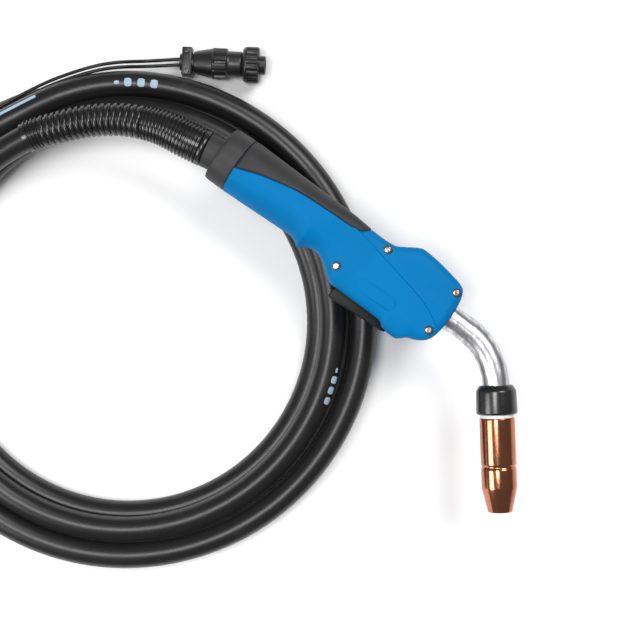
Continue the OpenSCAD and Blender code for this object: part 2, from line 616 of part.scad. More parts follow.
module feeder_nuts() color("silver") at_feeder(feeder_relief_l)
    for (s = feeder_screw_at, y = [-1, 1]) translate([4.05, y * 14.6, s]) rotate([0, 90, 0]) difference() {
        cylinder(r = 2.2, h = 1.8, $fn = 6);
        translate([0, 0, -1]) cylinder(r = 1.2, h = 4);
    }
pin_s = feeder_relief_l + feeder_l - 12;
pin_seat_r = power_pin_d / 2 - 0.4;
pin_back = feeder_l - 24.2;  // tail of the pin, back to the end of the cable
o_ring_r = 0.9;
o_ring_at = [power_pin_l - 9, power_pin_l - 4.5];
module power_pin() color("goldenrod") at_feeder(pin_s) difference() {
    union() {
        cylinder(r = power_pin_d / 2 + 2.5, h = 6);
        cylinder(r = pin_seat_r, h = 12);
        translate([0, 0, 12]) cylinder(r = power_pin_d / 2, h = power_pin_l - 1);
        translate([0, 0, 11 + power_pin_l]) cylinder(r1 = power_pin_d / 2, r2 = power_pin_d / 2 - 1, h = 1);
        translate([0, 0, -pin_back]) cylinder(r = 6, h = pin_back + eps);
    }
    translate([0, 0, -pin_back - 1]) cylinder(r = 2.4, h = pin_back + 20 + power_pin_l);
    for (s = o_ring_at) translate([0, 0, 12 + s - o_ring_r])
        ring(power_pin_d, power_pin_d / 2 - 2 * o_ring_r, 2 * o_ring_r);
    // Seat for the screw that locks the wire liner
    translate([0, 0, 3]) rotate([0, -90, 0]) cylinder(r = 1.6, h = 30);
}
module pin_o_rings() color("black") at_feeder(pin_s + 12) for (s = o_ring_at) translate([0, 0, s])
    rotate_extrude() translate([power_pin_d / 2 - o_ring_r - skin, 0]) circle(r = o_ring_r - skin, $fn = 24);
module liner_screw() color("dimgray") at_feeder(pin_s + 3) rotate([0, -90, 0]) translate([0, 0, 3]) difference() {
    cylinder(r = 1.5, h = 6.5);
    translate([0, 0, 5]) cylinder(r = 0.8, h = 2, $fn = 6);
}

// ================= Control leads and plug =================

function control_path(side) =
    let (line = smooth(concat([handle_place(8, 0, plug_at, plug_heading, plug_z, 0),
             handle_place(0, 0, plug_at, plug_heading, plug_z, 0)], lead_start,
             [for (p = lead_round) about_coil(p)],
             [for (s = [-lead_depth, lead_depth])
                 handle_place(feeder_relief_l + s, lead_height, feeder_at, feeder_heading, feeder_z, 0)]), 1))
    [for (i = [0 : len(line) - 1]) line[i] + side * lead_side * side_at(line, i)];
module control_lead(side) color([0.13, 0.13, 0.13]) placed() cord(control_path(side), lead_d / 2, 8);

module plug_shell() color([0.13, 0.13, 0.13]) at_plug() difference() {
    union() {
        rotate_extrude() polygon([[0, 0], [5.6, 0], [6, 0.6], [6, plug_clamp_l], [7.6, plug_clamp_l],
            [plug_grip_r, plug_clamp_l + plug_cone_l], [plug_grip_r, plug_clamp_l + plug_cone_l + plug_grip_l - 0.6],
            [plug_grip_r - 0.6, plug_clamp_l + plug_cone_l + plug_grip_l],
            [plug_neck_r, plug_clamp_l + plug_cone_l + plug_grip_l], [plug_neck_r, plug_barrel_s],
            [nose_d / 2, plug_barrel_s], [nose_d / 2, plug_end_s], [0, plug_end_s]]);
        for (y = [-1, 1]) translate([-3, y * 7 - 2.6, 1.5]) cube([6, 5.2, 7]);
    }
    translate([0, 0, -1]) cylinder(r = plug_bore_r, h = plug_end_s - 9);
    translate([0, 0, plug_end_s - 12]) cylinder(r = nose_d / 2 - 1, h = 13);
    translate([-12, -12, 1.3]) cube([9, 24, 7.4]);
    for (y = [-1, 1]) translate([-10, y * 7, 5]) rotate([0, 90, 0]) cylinder(r = 1.15, h = 20);
    for (a = [0 : 30 : 330]) rotate([0, 0, a]) translate([plug_grip_r, -0.6, plug_clamp_l + plug_cone_l - 2])
        cube([2, 1.2, 8], center = false);
}
module plug_saddle() color([0.12, 0.12, 0.12]) at_plug() difference() {
    translate([-6.3, -9.6, 1.5]) cube([3.25, 19.2, 7]);
    for (y = [-1, 1]) translate([-10, y * 7, 5]) rotate([0, 90, 0]) cylinder(r = 1.15, h = 20);
}
module plug_screws() color("silver") at_plug() for (y = [-1, 1]) translate([-8, y * 7, 5]) rotate([0, 90, 0]) {
    cylinder(r = 2, h = 1.65);
    cylinder(r = 1.05, h = 10.5);
}
module plug_insert() color([0.2, 0.2, 0.2]) at_plug(plug_end_s - 10) difference() {
    cylinder(r = nose_d / 2 - 1.05, h = 8);
    for (a = [45 : 90 : 315]) rotate([0, 0, a]) translate([2.8, 0, -1]) cylinder(r = contact_d / 2 + skin, h = 12);
}
module plug_pins() color("gold") at_plug(plug_end_s - 13)
    for (a = [45 : 90 : 315]) rotate([0, 0, a]) translate([2.8, 0, 0]) cylinder(r = contact_d / 2, h = 12);
flutes = 18;
module coupling_ring() color([0.12, 0.12, 0.12]) at_plug(coupling_s) difference() {
    rotate_extrude() polygon([[nose_d / 2 + free, 0], [coupling_d / 2 - 1.5, 0], [coupling_d / 2, 1.5],
        [coupling_d / 2, coupling_l - 1], [coupling_d / 2 - 1, coupling_l], [nose_d / 2 + free, coupling_l]]);
    for (k = [0 : flutes - 1]) rotate([0, 0, 360 * (k + 0.5) / flutes])
        translate([coupling_d / 2 + 0.5, 0, 2.5]) cylinder(r = 1.2, h = coupling_l, $fn = 20);
}

swivel_collar();
shell_right();
shell_left();
grip_pad(1);  // grip_pad_right
grip_pad(-1);  // grip_pad_left
shell_screws();
shell_nuts();
trigger();
trigger_spring();
trigger_pin();
switch_body();
switch_plunger();
switch_terminals();
inner_cable();
crimp_sleeve();
neck_block();
neck_armour();
neck_insulation();
neck_conductor();
wire_liner();
nozzle_insulator();
white_insulator();
gas_diffuser();
contact_tip();
nozzle();
nozzle_insert();
swivel_ball();
strain_relief();
cable_lead();
cable_coil();
cable_tail();
feeder_relief();
feeder_half(1);  // feeder_housing_right
feeder_half(-1);  // feeder_housing_left
feeder_screws();
feeder_nuts();
power_pin();
pin_o_rings();
liner_screw();
control_lead(1);  // control_lead_a
control_lead(-1);  // control_lead_b
plug_shell();
plug_saddle();
plug_screws();
plug_insert();
plug_pins();
coupling_ring();
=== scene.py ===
import json
import math

import bmesh
import bpy
from mathutils import Matrix, Vector


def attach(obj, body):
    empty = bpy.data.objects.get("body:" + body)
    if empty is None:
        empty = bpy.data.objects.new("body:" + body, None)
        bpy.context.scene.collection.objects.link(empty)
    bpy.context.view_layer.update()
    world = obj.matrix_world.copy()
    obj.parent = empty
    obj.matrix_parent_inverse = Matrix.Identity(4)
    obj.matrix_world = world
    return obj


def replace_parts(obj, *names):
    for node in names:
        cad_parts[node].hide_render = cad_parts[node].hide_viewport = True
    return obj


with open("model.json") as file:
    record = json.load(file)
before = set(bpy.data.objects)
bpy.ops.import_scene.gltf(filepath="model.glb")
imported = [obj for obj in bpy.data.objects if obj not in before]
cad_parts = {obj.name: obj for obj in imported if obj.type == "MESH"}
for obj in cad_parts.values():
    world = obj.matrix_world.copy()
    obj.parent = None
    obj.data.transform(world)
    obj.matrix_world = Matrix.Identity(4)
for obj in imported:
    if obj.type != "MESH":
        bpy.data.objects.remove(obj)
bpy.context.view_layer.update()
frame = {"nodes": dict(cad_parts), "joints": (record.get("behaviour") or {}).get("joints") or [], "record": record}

mm = 0.001
scene = bpy.context.scene
joints = {joint["name"]: joint for joint in frame["joints"]}
mounts = {mount["name"]: mount for mount in frame["record"]["mounts"]}
swivelCentre = Vector(joints["swivel_swing"]["pos_m"])
collarBack = swivelCentre - Vector((13 * mm, 0, 0))    # the handle's places start here
floorZ = -53                             # bench, below the handle's split plane, in millimetres


def place(u, v, z=0):
    # millimetres along the handle, towards its padded back and up, to metres in the frame
    return collarBack + Vector((u, v, z)) * mm


def axisFrame(start, direction):
    # local Z runs along the direction and local X points up; local units are millimetres
    along = Vector(direction).normalized()
    up = Vector((0, 0, 1))
    turned = Matrix((up, along.cross(up), along)).transposed().to_4x4()
    return Matrix.Translation(start) @ turned @ Matrix.Scale(mm, 4)


def heading(degrees):
    return Vector((math.cos(math.radians(degrees)), math.sin(math.radians(degrees)), 0))


handleFrame = axisFrame(collarBack, (1, 0, 0))
nozzleAxis = Vector(mounts["wire_exit"]["axis"])
nozzleEnds = {"back": 21.4, "mouth": 82.9, "tip": 79.9}
bendEnd = -nozzleAxis * nozzleEnds["tip"] * mm          # the frame's origin is the tip's wire exit
nozzleFrame = axisFrame(bendEnd, nozzleAxis)

# ---- camera, looking straight down on the bench

camera = {"spot": (-0.1668, 0.0327, 0.847), "turn": 35, "lens": 72.8}
eye = bpy.data.objects.new("camera", bpy.data.cameras.new("camera"))
eye.location = camera["spot"]
eye.rotation_euler = (0, 0, math.radians(camera["turn"]))
eye.data.lens = camera["lens"]
eye.data.sensor_width = 36
scene.collection.objects.link(eye)
scene.camera = eye

# ---- routes and curves


def throughKnots(knots, x, column=1):
    # monotone cubic through (place, value) rows: smooth, and never past a knot's own value
    x = min(max(x, knots[0][0]), knots[-1][0])
    last = len(knots) - 2
    i = 0
    while i < last and knots[i + 1][0] <= x:
        i += 1

    def rise(k):
        return (knots[k + 1][column] - knots[k][column]) / (knots[k + 1][0] - knots[k][0])

    def slope(k):
        if k == 0 or k > last:
            return rise(min(k, last))
        before, after = rise(k - 1), rise(k)
        return 0 if before * after <= 0 else 2 * before * after / (before + after)

    span = knots[i + 1][0] - knots[i][0]
    t = (x - knots[i][0]) / span
    low, high = knots[i][column], knots[i + 1][column]
    return (low * (1 + 2 * t) * (1 - t) ** 2 + high * (3 - 2 * t) * t * t
            + span * (slope(i) * t * (1 - t) ** 2 - slope(i + 1) * (1 - t) * t * t))


def smoothThrough(points, steps):
    # Catmull-Rom curve through given points
    made = []
    ends = [points[0] * 2 - points[1]] + points + [points[-1] * 2 - points[-2]]
    for a, b, c, d in zip(ends, ends[1:], ends[2:], ends[3:]):
        for k in range(steps):
            f = k / steps
            made.append(0.5 * (2 * b + (c - a) * f + (2 * a - 5 * b + 4 * c - d) * f * f
                               + (3 * b - a - 3 * c + d) * f ** 3))
    return made + [points[-1]]


def eased(points, times):
    # rounds off small kinks, with both ends held
    for _ in range(times):
        points = ([points[0]] + [(a + b * 2 + c) / 4 for a, b, c in zip(points, points[1:], points[2:])]
                  + [points[-1]])
    return points


class Route:
    # a line of points with its length, and a frame at any distance along it
    def __init__(self, points):
        self.points = points
        self.reach = [0]
        for a, b in zip(points, points[1:]):
            self.reach.append(self.reach[-1] + (b - a).length)
        self.length = self.reach[-1]

    def at(self, distance):
        # local X to the side, local Y up, local Z along the route, in metres
        i = 0
        while i < len(self.points) - 2 and self.reach[i + 1] <= distance:
            i += 1
        a, b = self.points[i], self.points[i + 1]
        before = self.points[max(i - 1, 0)]
        after = self.points[min(i + 2, len(self.points) - 1)]
        f = (distance - self.reach[i]) / (self.reach[i + 1] - self.reach[i])
        along = (b - before).normalized().lerp((after - a).normalized(), f).normalized()
        side = Vector((0, 0, 1)).cross(along).normalized()
        turned = Matrix((side, along.cross(side), along)).transposed().to_4x4()
        return Matrix.Translation(a.lerp(b, f)) @ turned


def cordPiece(name, points, diameter, slotName, sides):
    shape = bpy.data.curves.new(name, "CURVE")
    shape.dimensions = "3D"
    shape.bevel_depth = diameter / 2
    shape.bevel_resolution = sides
    shape.use_fill_caps = True
    line = shape.splines.new("POLY")
    line.points.add(len(points) - 1)
    for spot, point in zip(line.points, points):
        spot.co = (*point, 1)
    line.use_smooth = True
    shape.materials.append(finishes[slotName])
    piece = bpy.data.objects.new(name, shape)
    scene.collection.objects.link(piece)
    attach(piece, "cable")
    return piece


# ---- finishes


class Wire:
    # a number on its way through the shader; arithmetic on it adds Math nodes
    def __init__(self, finish, socket):
        self.finish = finish
        self.socket = socket

    def join(self, operation, first, second):
        return self.finish.node("Math", {"operation": operation}, {0: first, 1: second})

    def __add__(self, other):
        return self.join("ADD", self, other)

    def __sub__(self, other):
        return self.join("SUBTRACT", self, other)

    def __rsub__(self, other):
        return self.join("SUBTRACT", other, self)

    def __mul__(self, other):
        return self.join("MULTIPLY", self, other)

    __radd__ = __add__
    __rmul__ = __mul__


class Finish:
    # one material: its Principled shader, and the nodes that vary it over the surface
    def __init__(self, name, fixed=None):
        self.material = bpy.data.materials.new(name)
        self.material.use_nodes = True
        self.tree = self.material.node_tree
        self.shader = self.tree.nodes["Principled BSDF"]
        self.feed(self.shader, fixed or {})

    def feed(self, node, values):
        for name, value in values.items():
            socket = node.inputs[name]
            if isinstance(value, Wire):
                self.tree.links.new(value.socket, socket)
            elif socket.type == "RGBA":
                socket.default_value = (*value, 1)
            else:
                socket.default_value = value

    def node(self, kind, settings, values, output=0):
        made = self.tree.nodes.new("ShaderNode" + kind)
        for name, value in settings.items():
            setattr(made, name, value)
        self.feed(made, values)
        return Wire(self, made.outputs[output])

    def where(self, start=(0, 0, 0), turn=(0, 0, 0), stretch=(1, 1, 1)):
        # object coordinates seen from a start, turned, and stretched
        spot = self.node("TexCoord", {}, {}, "Object")
        return self.node("Mapping", {"vector_type": "TEXTURE"},
                         {"Vector": spot, "Location": start, "Rotation": turn, "Scale": stretch})

    def onAxis(self, axis, stretch):
        return self.where(axis.translation, axis.to_euler(), stretch)

    def noise(self, spot, scale, detail=2.0, grit=0.5):
        return self.node("TexNoise", {},
                         {"Vector": spot, "Scale": scale, "Detail": detail, "Roughness": grit})

    def step(self, value, low, high):
        return self.node("MapRange", {"interpolation_type": "SMOOTHSTEP"},
                         {"Value": value, "From Min": low, "From Max": high})

    def mix(self, amount, first, second):
        return self.node("Mix", {"data_type": "RGBA"}, {0: amount, 6: first, 7: second}, 2)

    def bump(self, height, depth):
        return self.node("Bump", {}, {"Height": height, "Distance": depth, "Strength": 1.0})

    def wear(self, color, roughness, normal, metal=None):
        values = {"Base Color": color, "Roughness": roughness, "Normal": normal}
        if metal is not None:
            values["Metallic"] = metal
        self.feed(self.shader, values)
        return self.material


def moulded(name, color, shade, roughness, grain=1500, depth=0.00004, specular=0.5, coat=0.0):
    # moulded plastic or rubber: uneven gloss, faint clouding, and a fine spark-eroded grain
    finish = Finish(name, {"Specular IOR Level": specular, "Coat Weight": coat, "Coat Roughness": 0.2})
    spot = finish.where()
    cloud = finish.step(finish.noise(spot, 38, 3.0), 0.35, 0.65)
    handled = finish.noise(spot, 240, 4.0, 0.65)
    fine = finish.noise(spot, grain, 2.0)
    gloss = roughness - 0.07 + handled * 0.14
    return finish.wear(finish.mix(cloud * 0.8, color, shade), gloss, finish.bump(fine, depth))


def metalled(name, color, tint, roughness, axis, stretch, scale=900, depth=0.000012):
    # bare metal with marks drawn out along or round its own axis
    finish = Finish(name, {"Metallic": 1.0})
    drawn = finish.onAxis(axis, stretch)
    line = finish.noise(drawn, scale, 3.0, 0.6)
    broad = finish.noise(finish.where(), 90, 2.0)
    gloss = roughness - 0.05 + line * 0.12
    color = finish.mix(finish.step(broad, 0.35, 0.7), color, tint)
    return finish.wear(color, gloss, finish.bump(line, depth))


roundMarks = (9, 9, 1)                   # turned on a lathe: rings across the axis
alongMarks = (1, 1, 14)                  # drawn through a die: lines along the axis


def cableRubber():
    # thick rubber jacket: soft sheen, faint dust, and a fine matt skin
    finish = Finish("cableRubber", {"Specular IOR Level": 0.36, "Sheen Weight": 0.03, "Sheen Roughness": 0.4})
    spot = finish.where()
    dust = finish.step(finish.noise(spot, 55, 5.0, 0.6), 0.5, 0.8)
    skin = finish.noise(spot, 1300, 2.0)
    scuff = finish.step(finish.noise(spot, 420, 3.0, 0.7), 0.58, 0.75)
    color = finish.mix(dust * 0.5, (0.009, 0.009, 0.0098), (0.016, 0.016, 0.017))
    return finish.wear(color, 0.33 + dust * 0.1 + scuff * 0.06, finish.bump(skin, 0.00003))


def shellBlue():
    # blue glass-filled nylon with a fine moulded texture, a little paler where it is rubbed
    finish = Finish("shellBlue", {"Specular IOR Level": 0.05})
    spot = finish.where()
    cloud = finish.step(finish.noise(spot, 28, 3.0), 0.35, 0.65)
    rubbed = finish.step(finish.noise(spot, 160, 4.0, 0.6), 0.55, 0.8)
    grain = finish.noise(spot, 1900, 2.0)
    flow = finish.noise(finish.where(stretch=(9, 1, 1)), 300, 2.0)
    color = finish.mix(cloud, (0.0, 0.15, 0.385), (0.0, 0.158, 0.405))
    color = finish.mix(rubbed * 0.25, color, (0.0, 0.178, 0.44))
    return finish.wear(color, 0.42 + grain * 0.1 + flow * 0.05, finish.bump(grain, 0.00003))


def polishedCopper():
    # turned and buffed copper, a little darker and pinker where heat has tinted it
    finish = Finish("polishedCopper", {"Metallic": 1.0})
    rings = finish.noise(finish.onAxis(nozzleFrame, roundMarks), 1400, 3.0, 0.6)
    sweep = finish.noise(finish.onAxis(nozzleFrame, (1, 1, 6)), 260, 2.0)
    heat = finish.step(finish.noise(finish.where(), 70, 3.0, 0.6), 0.42, 0.75)
    color = finish.mix(heat * 0.55, (0.48, 0.18, 0.1), (0.33, 0.11, 0.06))
    color = finish.mix(finish.step(sweep, 0.55, 0.75) * 0.3, color, (0.74, 0.38, 0.26))
    return finish.wear(color, 0.1 + rings * 0.12 + heat * 0.04, finish.bump(rings, 0.000012))


def neckBright():
    # drawn and bent bright tube: long soft streaks of darker colour, partly drawn polish marks and partly painted
    # reflection bands, a few shallow dings and uneven polish
    finish = Finish("neckBright", {"Metallic": 1.0})
    streaksAndPaintedReflections = finish.noise(finish.onAxis(nozzleFrame, (1, 1, 7)), 330, 3.0, 0.55)
    broad = finish.noise(finish.onAxis(nozzleFrame, (1, 1, 4)), 120, 2.0)
    dings = finish.noise(finish.where(), 130, 1.0)
    # painted reflection: darker streaks along the tube in the base colour stand in for the reflection bands of a
    # bright tube, besides its polish marks
    color = finish.mix(finish.step(streaksAndPaintedReflections, 0.35, 0.65), (0.72, 0.72, 0.73), (0.4, 0.4, 0.42))
    height = streaksAndPaintedReflections * 0.25 + broad * 0.8 + dings * 0.5
    return finish.wear(color, 0.2 + streaksAndPaintedReflections * 0.2, finish.bump(height, 0.00022))


upAxis = Matrix.Translation(place(130, 0))
finishes = {
    "shell_blue": shellBlue(),
    "cable_rubber": cableRubber(),
    "copper": polishedCopper(),
    "neck_bright": neckBright(),
    "collar_dark": moulded("collarDark", (0.025, 0.025, 0.026), (0.031, 0.031, 0.032),
                           0.5, 1400, 0.00004, 0.28),
    "pad_grey": moulded("padGrey", (0.023, 0.023, 0.024), (0.029, 0.029, 0.03), 0.56, 1100, 0.00007, 0.3),
    "trigger_black": moulded("triggerBlack", (0.007, 0.007, 0.0075), (0.011, 0.011, 0.012),
                             0.46, 1500, 0.00004, 0.2),
    "switch_black": moulded("switchBlack", (0.012, 0.012, 0.012), (0.02, 0.02, 0.02), 0.5),
    "switch_red": moulded("switchRed", (0.5, 0.04, 0.02), (0.42, 0.03, 0.02), 0.4),
    "relief_black": moulded("reliefBlack", (0.007, 0.007, 0.008), (0.012, 0.012, 0.013), 0.26, 1400, 0.00002,
                            0.45, 0.12),
    "insulator_black": moulded("insulatorBlack", (0.008, 0.008, 0.009), (0.014, 0.014, 0.015), 0.26, 1500,
                               0.00002, 0.5, 0.2),
    "insulator_white": moulded("insulatorWhite", (0.8, 0.79, 0.76), (0.72, 0.7, 0.66), 0.5),
    "neck_insulation": moulded("neckInsulation", (0.62, 0.6, 0.52), (0.55, 0.52, 0.45), 0.6),
    "plug_black": moulded("plugBlack", (0.011, 0.011, 0.012), (0.017, 0.017, 0.018), 0.36, 1300, 0.00005),
    "feeder_black": moulded("feederBlack", (0.018, 0.018, 0.02), (0.028, 0.028, 0.03), 0.48, 1200, 0.00006),
    "o_ring": moulded("oRing", (0.01, 0.01, 0.01), (0.016, 0.016, 0.016), 0.35),
    "steel_fastener": metalled("steelFastener", (0.5, 0.49, 0.48), (0.36, 0.35, 0.34),
                               0.2, upAxis, roundMarks),
    "spring_steel": metalled("springSteel", (0.5, 0.5, 0.51), (0.36, 0.36, 0.38), 0.28, upAxis, alongMarks),
    "screw_dark": metalled("screwDark", (0.1, 0.1, 0.1), (0.06, 0.06, 0.06), 0.35, upAxis, roundMarks),
    "brass": metalled("brass", (0.8, 0.57, 0.24), (0.66, 0.44, 0.17), 0.24, nozzleFrame, roundMarks),
    "plated_contact": metalled("platedContact", (0.86, 0.66, 0.28), (0.8, 0.58, 0.22),
                               0.2, nozzleFrame, alongMarks),
    "liner_steel": metalled("linerSteel", (0.45, 0.45, 0.46), (0.32, 0.32, 0.33),
                            0.35, nozzleFrame, roundMarks),
    "print": moulded("cablePrint", (0.36, 0.47, 0.54), (0.28, 0.39, 0.47), 0.5, 900, 0.00003),
}
for node in frame["nodes"].values():
    for slot in node.material_slots:
        slot.material = finishes[slot.material.name]
frame["nodes"]["swivel_ball"].material_slots[0].material = finishes["collar_dark"]
print("finishes ready:", len(finishes))

# ---- power cable: out of the strain relief, four loose turns in two layers, up to the feeder connector

coil = {"centre": (8.3, -129.3), "stepDegrees": 2.5}
cable = {
    "diameter": 17.5,
    "length": 3.92,
    "relief": [(-9.3, -3.5, 0), (-25, -6, 0), (-42, -9, -0.5), (-64, -18, -2), (-83, -31.5, -4),
               (-99, -48, -6.5), (-113, -66, -8.5)],
    # angle about the coil, radius, height above the bench
    "winding": [
        (152.4, 136.8, 44.5), (165, 138, 42), (177, 139, 36), (190, 140.5, 29), (203, 140.7, 24.3),
        (225, 140.7, 23.9), (395, 140.7, 23.9), (440, 141.5, 24), (470, 143.3, 24.8), (485, 144, 25.2),
        (500, 142.5, 24.8), (513, 139.5, 23.5), (525, 138.5, 22.5), (537, 136, 17.5), (550, 133, 11),
        (560, 132, 8.75), (755, 132, 8.75), (815, 133.5, 8.75), (830, 135.5, 8.75), (845, 138, 8.75),
        (860, 143.5, 8.75), (873, 149, 8.75), (885, 151.5, 8.75), (900, 150.8, 8.75), (920, 149.8, 8.75),
        (960, 149.5, 8.75), (1115, 149.5, 8.75), (1175, 152, 8.75), (1205, 155.5, 8.75), (1220, 161, 8.75),
        (1233, 166.5, 8.75), (1245, 168, 8.75), (1260, 168, 9.8), (1275, 167.2, 12.3), (1290, 166, 16),
        (1305, 163.3, 20.3), (1325, 160, 23.1), (1345, 158.2, 23.9), (1385, 158.2, 23.9), (1430, 160, 22.6),
        (1475, 162, 20.9), (1520, 161.8, 22.8), (1550, 161.6, 24.6), (1565, 161.5, 25.2), (1580, 159.5, 26.1),
        (1593, 157.5, 24), (1605, 160, 27), (1617, 162.3, 33), (1630, 162, 40.5), (1640, 157.5, 47)],
}
feeder = {"turn": 232, "offset": 138, "axisHeight": 49.8, "back": 64, "relief": 20, "length": 72,
          "radius": 17}
plug = {"spot": (-64.4, 37.5), "heading": 32.5, "axisHeight": 12.25}


def aboutCoil(angle, radius, height):
    spot = heading(angle) * radius
    return place(coil["centre"][0] + spot.x, coil["centre"][1] + spot.y, floorZ + height)


feederAlong = heading(feeder["turn"] + 90)
feederStart = (aboutCoil(feeder["turn"], feeder["offset"], feeder["axisHeight"])
               - feederAlong * feeder["back"] * mm)
feederFrame = axisFrame(feederStart, feederAlong)
plugAlong = heading(plug["heading"])
plugStart = place(*plug["spot"], floorZ + plug["axisHeight"])
plugFrame = axisFrame(plugStart, plugAlong)


def cablePoints():
    firstTurn = [aboutCoil(*knot) for knot in cable["winding"][1:3]]
    inRelief = smoothThrough([place(*knot) for knot in cable["relief"]] + firstTurn, 6)
    points = inRelief[24:37]             # from inside the relief to its end
    angle = cable["winding"][0][0] + coil["stepDegrees"]
    while angle < cable["winding"][-1][0]:
        points.append(aboutCoil(angle, throughKnots(cable["winding"], angle),
                                throughKnots(cable["winding"], angle, 2)))
        angle += coil["stepDegrees"]
    points += [feederStart + feederAlong * s * mm for s in (-4, 2, 8, 14, 20, 26, 32)]
    return eased(points, 5)


cableRoute = Route(cablePoints())
powerCable = cordPiece("powerCable", cableRoute.points, cable["diameter"] * mm, "cable_rubber", 8)
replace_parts(powerCable, "cable_lead", "cable_coil", "cable_tail")

controlLeads = {
    "diameter": 2.4,
    "length": 0.33,
    "atPlug": 2.0,                       # half their spacing at the plug and the connector
    "inGroove": 1.35,                    # and where they lie on the coil
    "start": [(-74, 30, 12), (-84, 21.5, 15)],
    "round": [(126.5, 174, 25), (132, 172, 27.5), (140, 170, 24.5), (147, 169, 21), (156, 168.5, 19),
              (166, 171, 22), (174, 173.5, 32.5), (182, 174, 41.5), (190, 172, 48.5), (198, 167.5, 57),
              (204, 160, 62.5)],
    "aboveAxis": 14.9,
}


def leadPoints(side):
    line = [plugStart + plugAlong * 8 * mm, plugStart]
    line += [place(u, v, floorZ + z) for u, v, z in controlLeads["start"]]
    line += [aboutCoil(*knot) for knot in controlLeads["round"]]
    lift = Vector((0, 0, controlLeads["aboveAxis"] * mm))
    line += [feederStart + feederAlong * (feeder["relief"] + s) * mm + lift for s in (-8, 8)]
    middle = Route(eased(smoothThrough(line, 5), 2))
    made = []
    for reach in middle.reach:
        share = math.sin(math.pi * reach / middle.length)
        gap = controlLeads["atPlug"] + (controlLeads["inGroove"] - controlLeads["atPlug"]) * share
        made.append(middle.at(reach) @ Vector((side * gap * mm, 0, 0)))
    return made


leadA = cordPiece("controlLeadA", leadPoints(1), controlLeads["diameter"] * mm, "cable_rubber", 4)
leadB = cordPiece("controlLeadB", leadPoints(-1), controlLeads["diameter"] * mm, "cable_rubber", 4)
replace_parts(leadA, "control_lead_a")
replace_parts(leadB, "control_lead_b")
print("cords laid:", round(cableRoute.length, 3), "m of cable")

# ---- making meshes


def newPiece(name, bm, slotName, body, sharp=35):
    bmesh.ops.remove_doubles(bm, verts=bm.verts, dist=1e-6)
    bmesh.ops.recalc_face_normals(bm, faces=bm.faces)
    mesh = bpy.data.meshes.new(name)
    bm.to_mesh(mesh)
    bm.free()
    mesh.shade_smooth()
    mesh.set_sharp_from_angle(angle=math.radians(sharp))
    mesh.materials.append(finishes[slotName])
    piece = bpy.data.objects.new(name, mesh)
    scene.collection.objects.link(piece)
    if body:
        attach(piece, body)
    return piece


def rounded(profile):
    # (along, radius) or (along, radius, fillet) points of a closed profile, its corners as short arcs
    made = []
    for k, corner in enumerate(profile):
        here = Vector(corner[:2])
        before = Vector(profile[k - 1][:2])
        after = Vector(profile[(k + 1) % len(profile)][:2])
        if len(corner) < 3:
            made.append(here)
            continue
        back, on = (before - here), (after - here)
        reach = min(corner[2], back.length * 0.49, on.length * 0.49)
        first = here + back.normalized() * reach
        last = here + on.normalized() * reach
        for t in (0, 0.33, 0.67, 1):
            made.append(first * (1 - t) ** 2 + here * 2 * t * (1 - t) + last * t * t)
    return made


def turned(bm, profile, axis, steps=64, angle=360):
    # spins a closed profile about the axis
    verts = [bm.verts.new((radius, 0, along)) for along, radius in rounded(profile)]
    edges = [bm.edges.new(pair) for pair in zip(verts, verts[1:] + verts[:1])]
    whole = angle == 360
    before = set(bm.verts) - set(verts)
    bmesh.ops.spin(bm, geom=verts + edges, cent=(0, 0, 0), axis=(0, 0, 1), angle=math.radians(angle),
                   steps=steps, use_merge=whole, use_normal_flip=False, use_duplicate=False)
    made = [vert for vert in bm.verts if vert not in before]
    bmesh.ops.remove_doubles(bm, verts=made, dist=0.0005)
    made = [vert for vert in bm.verts if vert not in before]
    if not whole:
        rim = [edge for edge in bm.edges if edge.is_boundary]
        bmesh.ops.holes_fill(bm, edges=rim, sides=0)
    bmesh.ops.transform(bm, matrix=axis, verts=made)
    return made


def turnedPiece(name, profile, axis, slotName, body, node, steps=64, sharp=30):
    bm = bmesh.new()
    turned(bm, profile, axis, steps)
    piece = newPiece(name, bm, slotName, body, sharp)
    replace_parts(piece, node)


def carve(piece, *cutters):
    # takes the cutters out of a closed piece for good
    for cutter in cutters:
        cut = piece.modifiers.new("cut", "BOOLEAN")
        cut.operation = "DIFFERENCE"
        cut.solver = "EXACT"
        cut.object = cutter
    bpy.context.view_layer.update()
    evaluated = piece.evaluated_get(bpy.context.evaluated_depsgraph_get())
    mesh = bpy.data.meshes.new_from_object(evaluated)
    piece.modifiers.clear()
    piece.data = mesh
    mesh.shade_smooth()
    mesh.set_sharp_from_angle(angle=math.radians(28))
    for cutter in cutters:
        bpy.data.objects.remove(cutter)


def prism(bm, outline, low, high, soften=0.0):
    # an outline in (u, v) stood up between two heights; the outline is in handle places
    verts = [bm.verts.new(place(u, v, low)) for u, v in outline]
    face = bm.faces.new(verts)
    made = bmesh.ops.extrude_face_region(bm, geom=[face])["geom"]
    top = [item for item in made if isinstance(item, bmesh.types.BMVert)]
    bmesh.ops.translate(bm, vec=(0, 0, (high - low) * mm), verts=top)
    if soften:
        edges = {edge for vert in verts + top for edge in vert.link_edges}
        bmesh.ops.bevel(bm, geom=list(edges), offset=soften * mm, segments=3, profile=0.5, affect="EDGES",
                        material=-1, clamp_overlap=True)


def disc(bm, centre, radius, low, high, steps=32):
    # an upright round bar at a handle place
    made = bmesh.ops.create_cone(bm, cap_ends=True, segments=steps, radius1=radius * mm, radius2=radius * mm,
                                 depth=(high - low) * mm)
    bmesh.ops.translate(bm, vec=place(*centre, (low + high) / 2), verts=made["verts"])


# ---- print on the cable's jacket: blank bars and long stripes

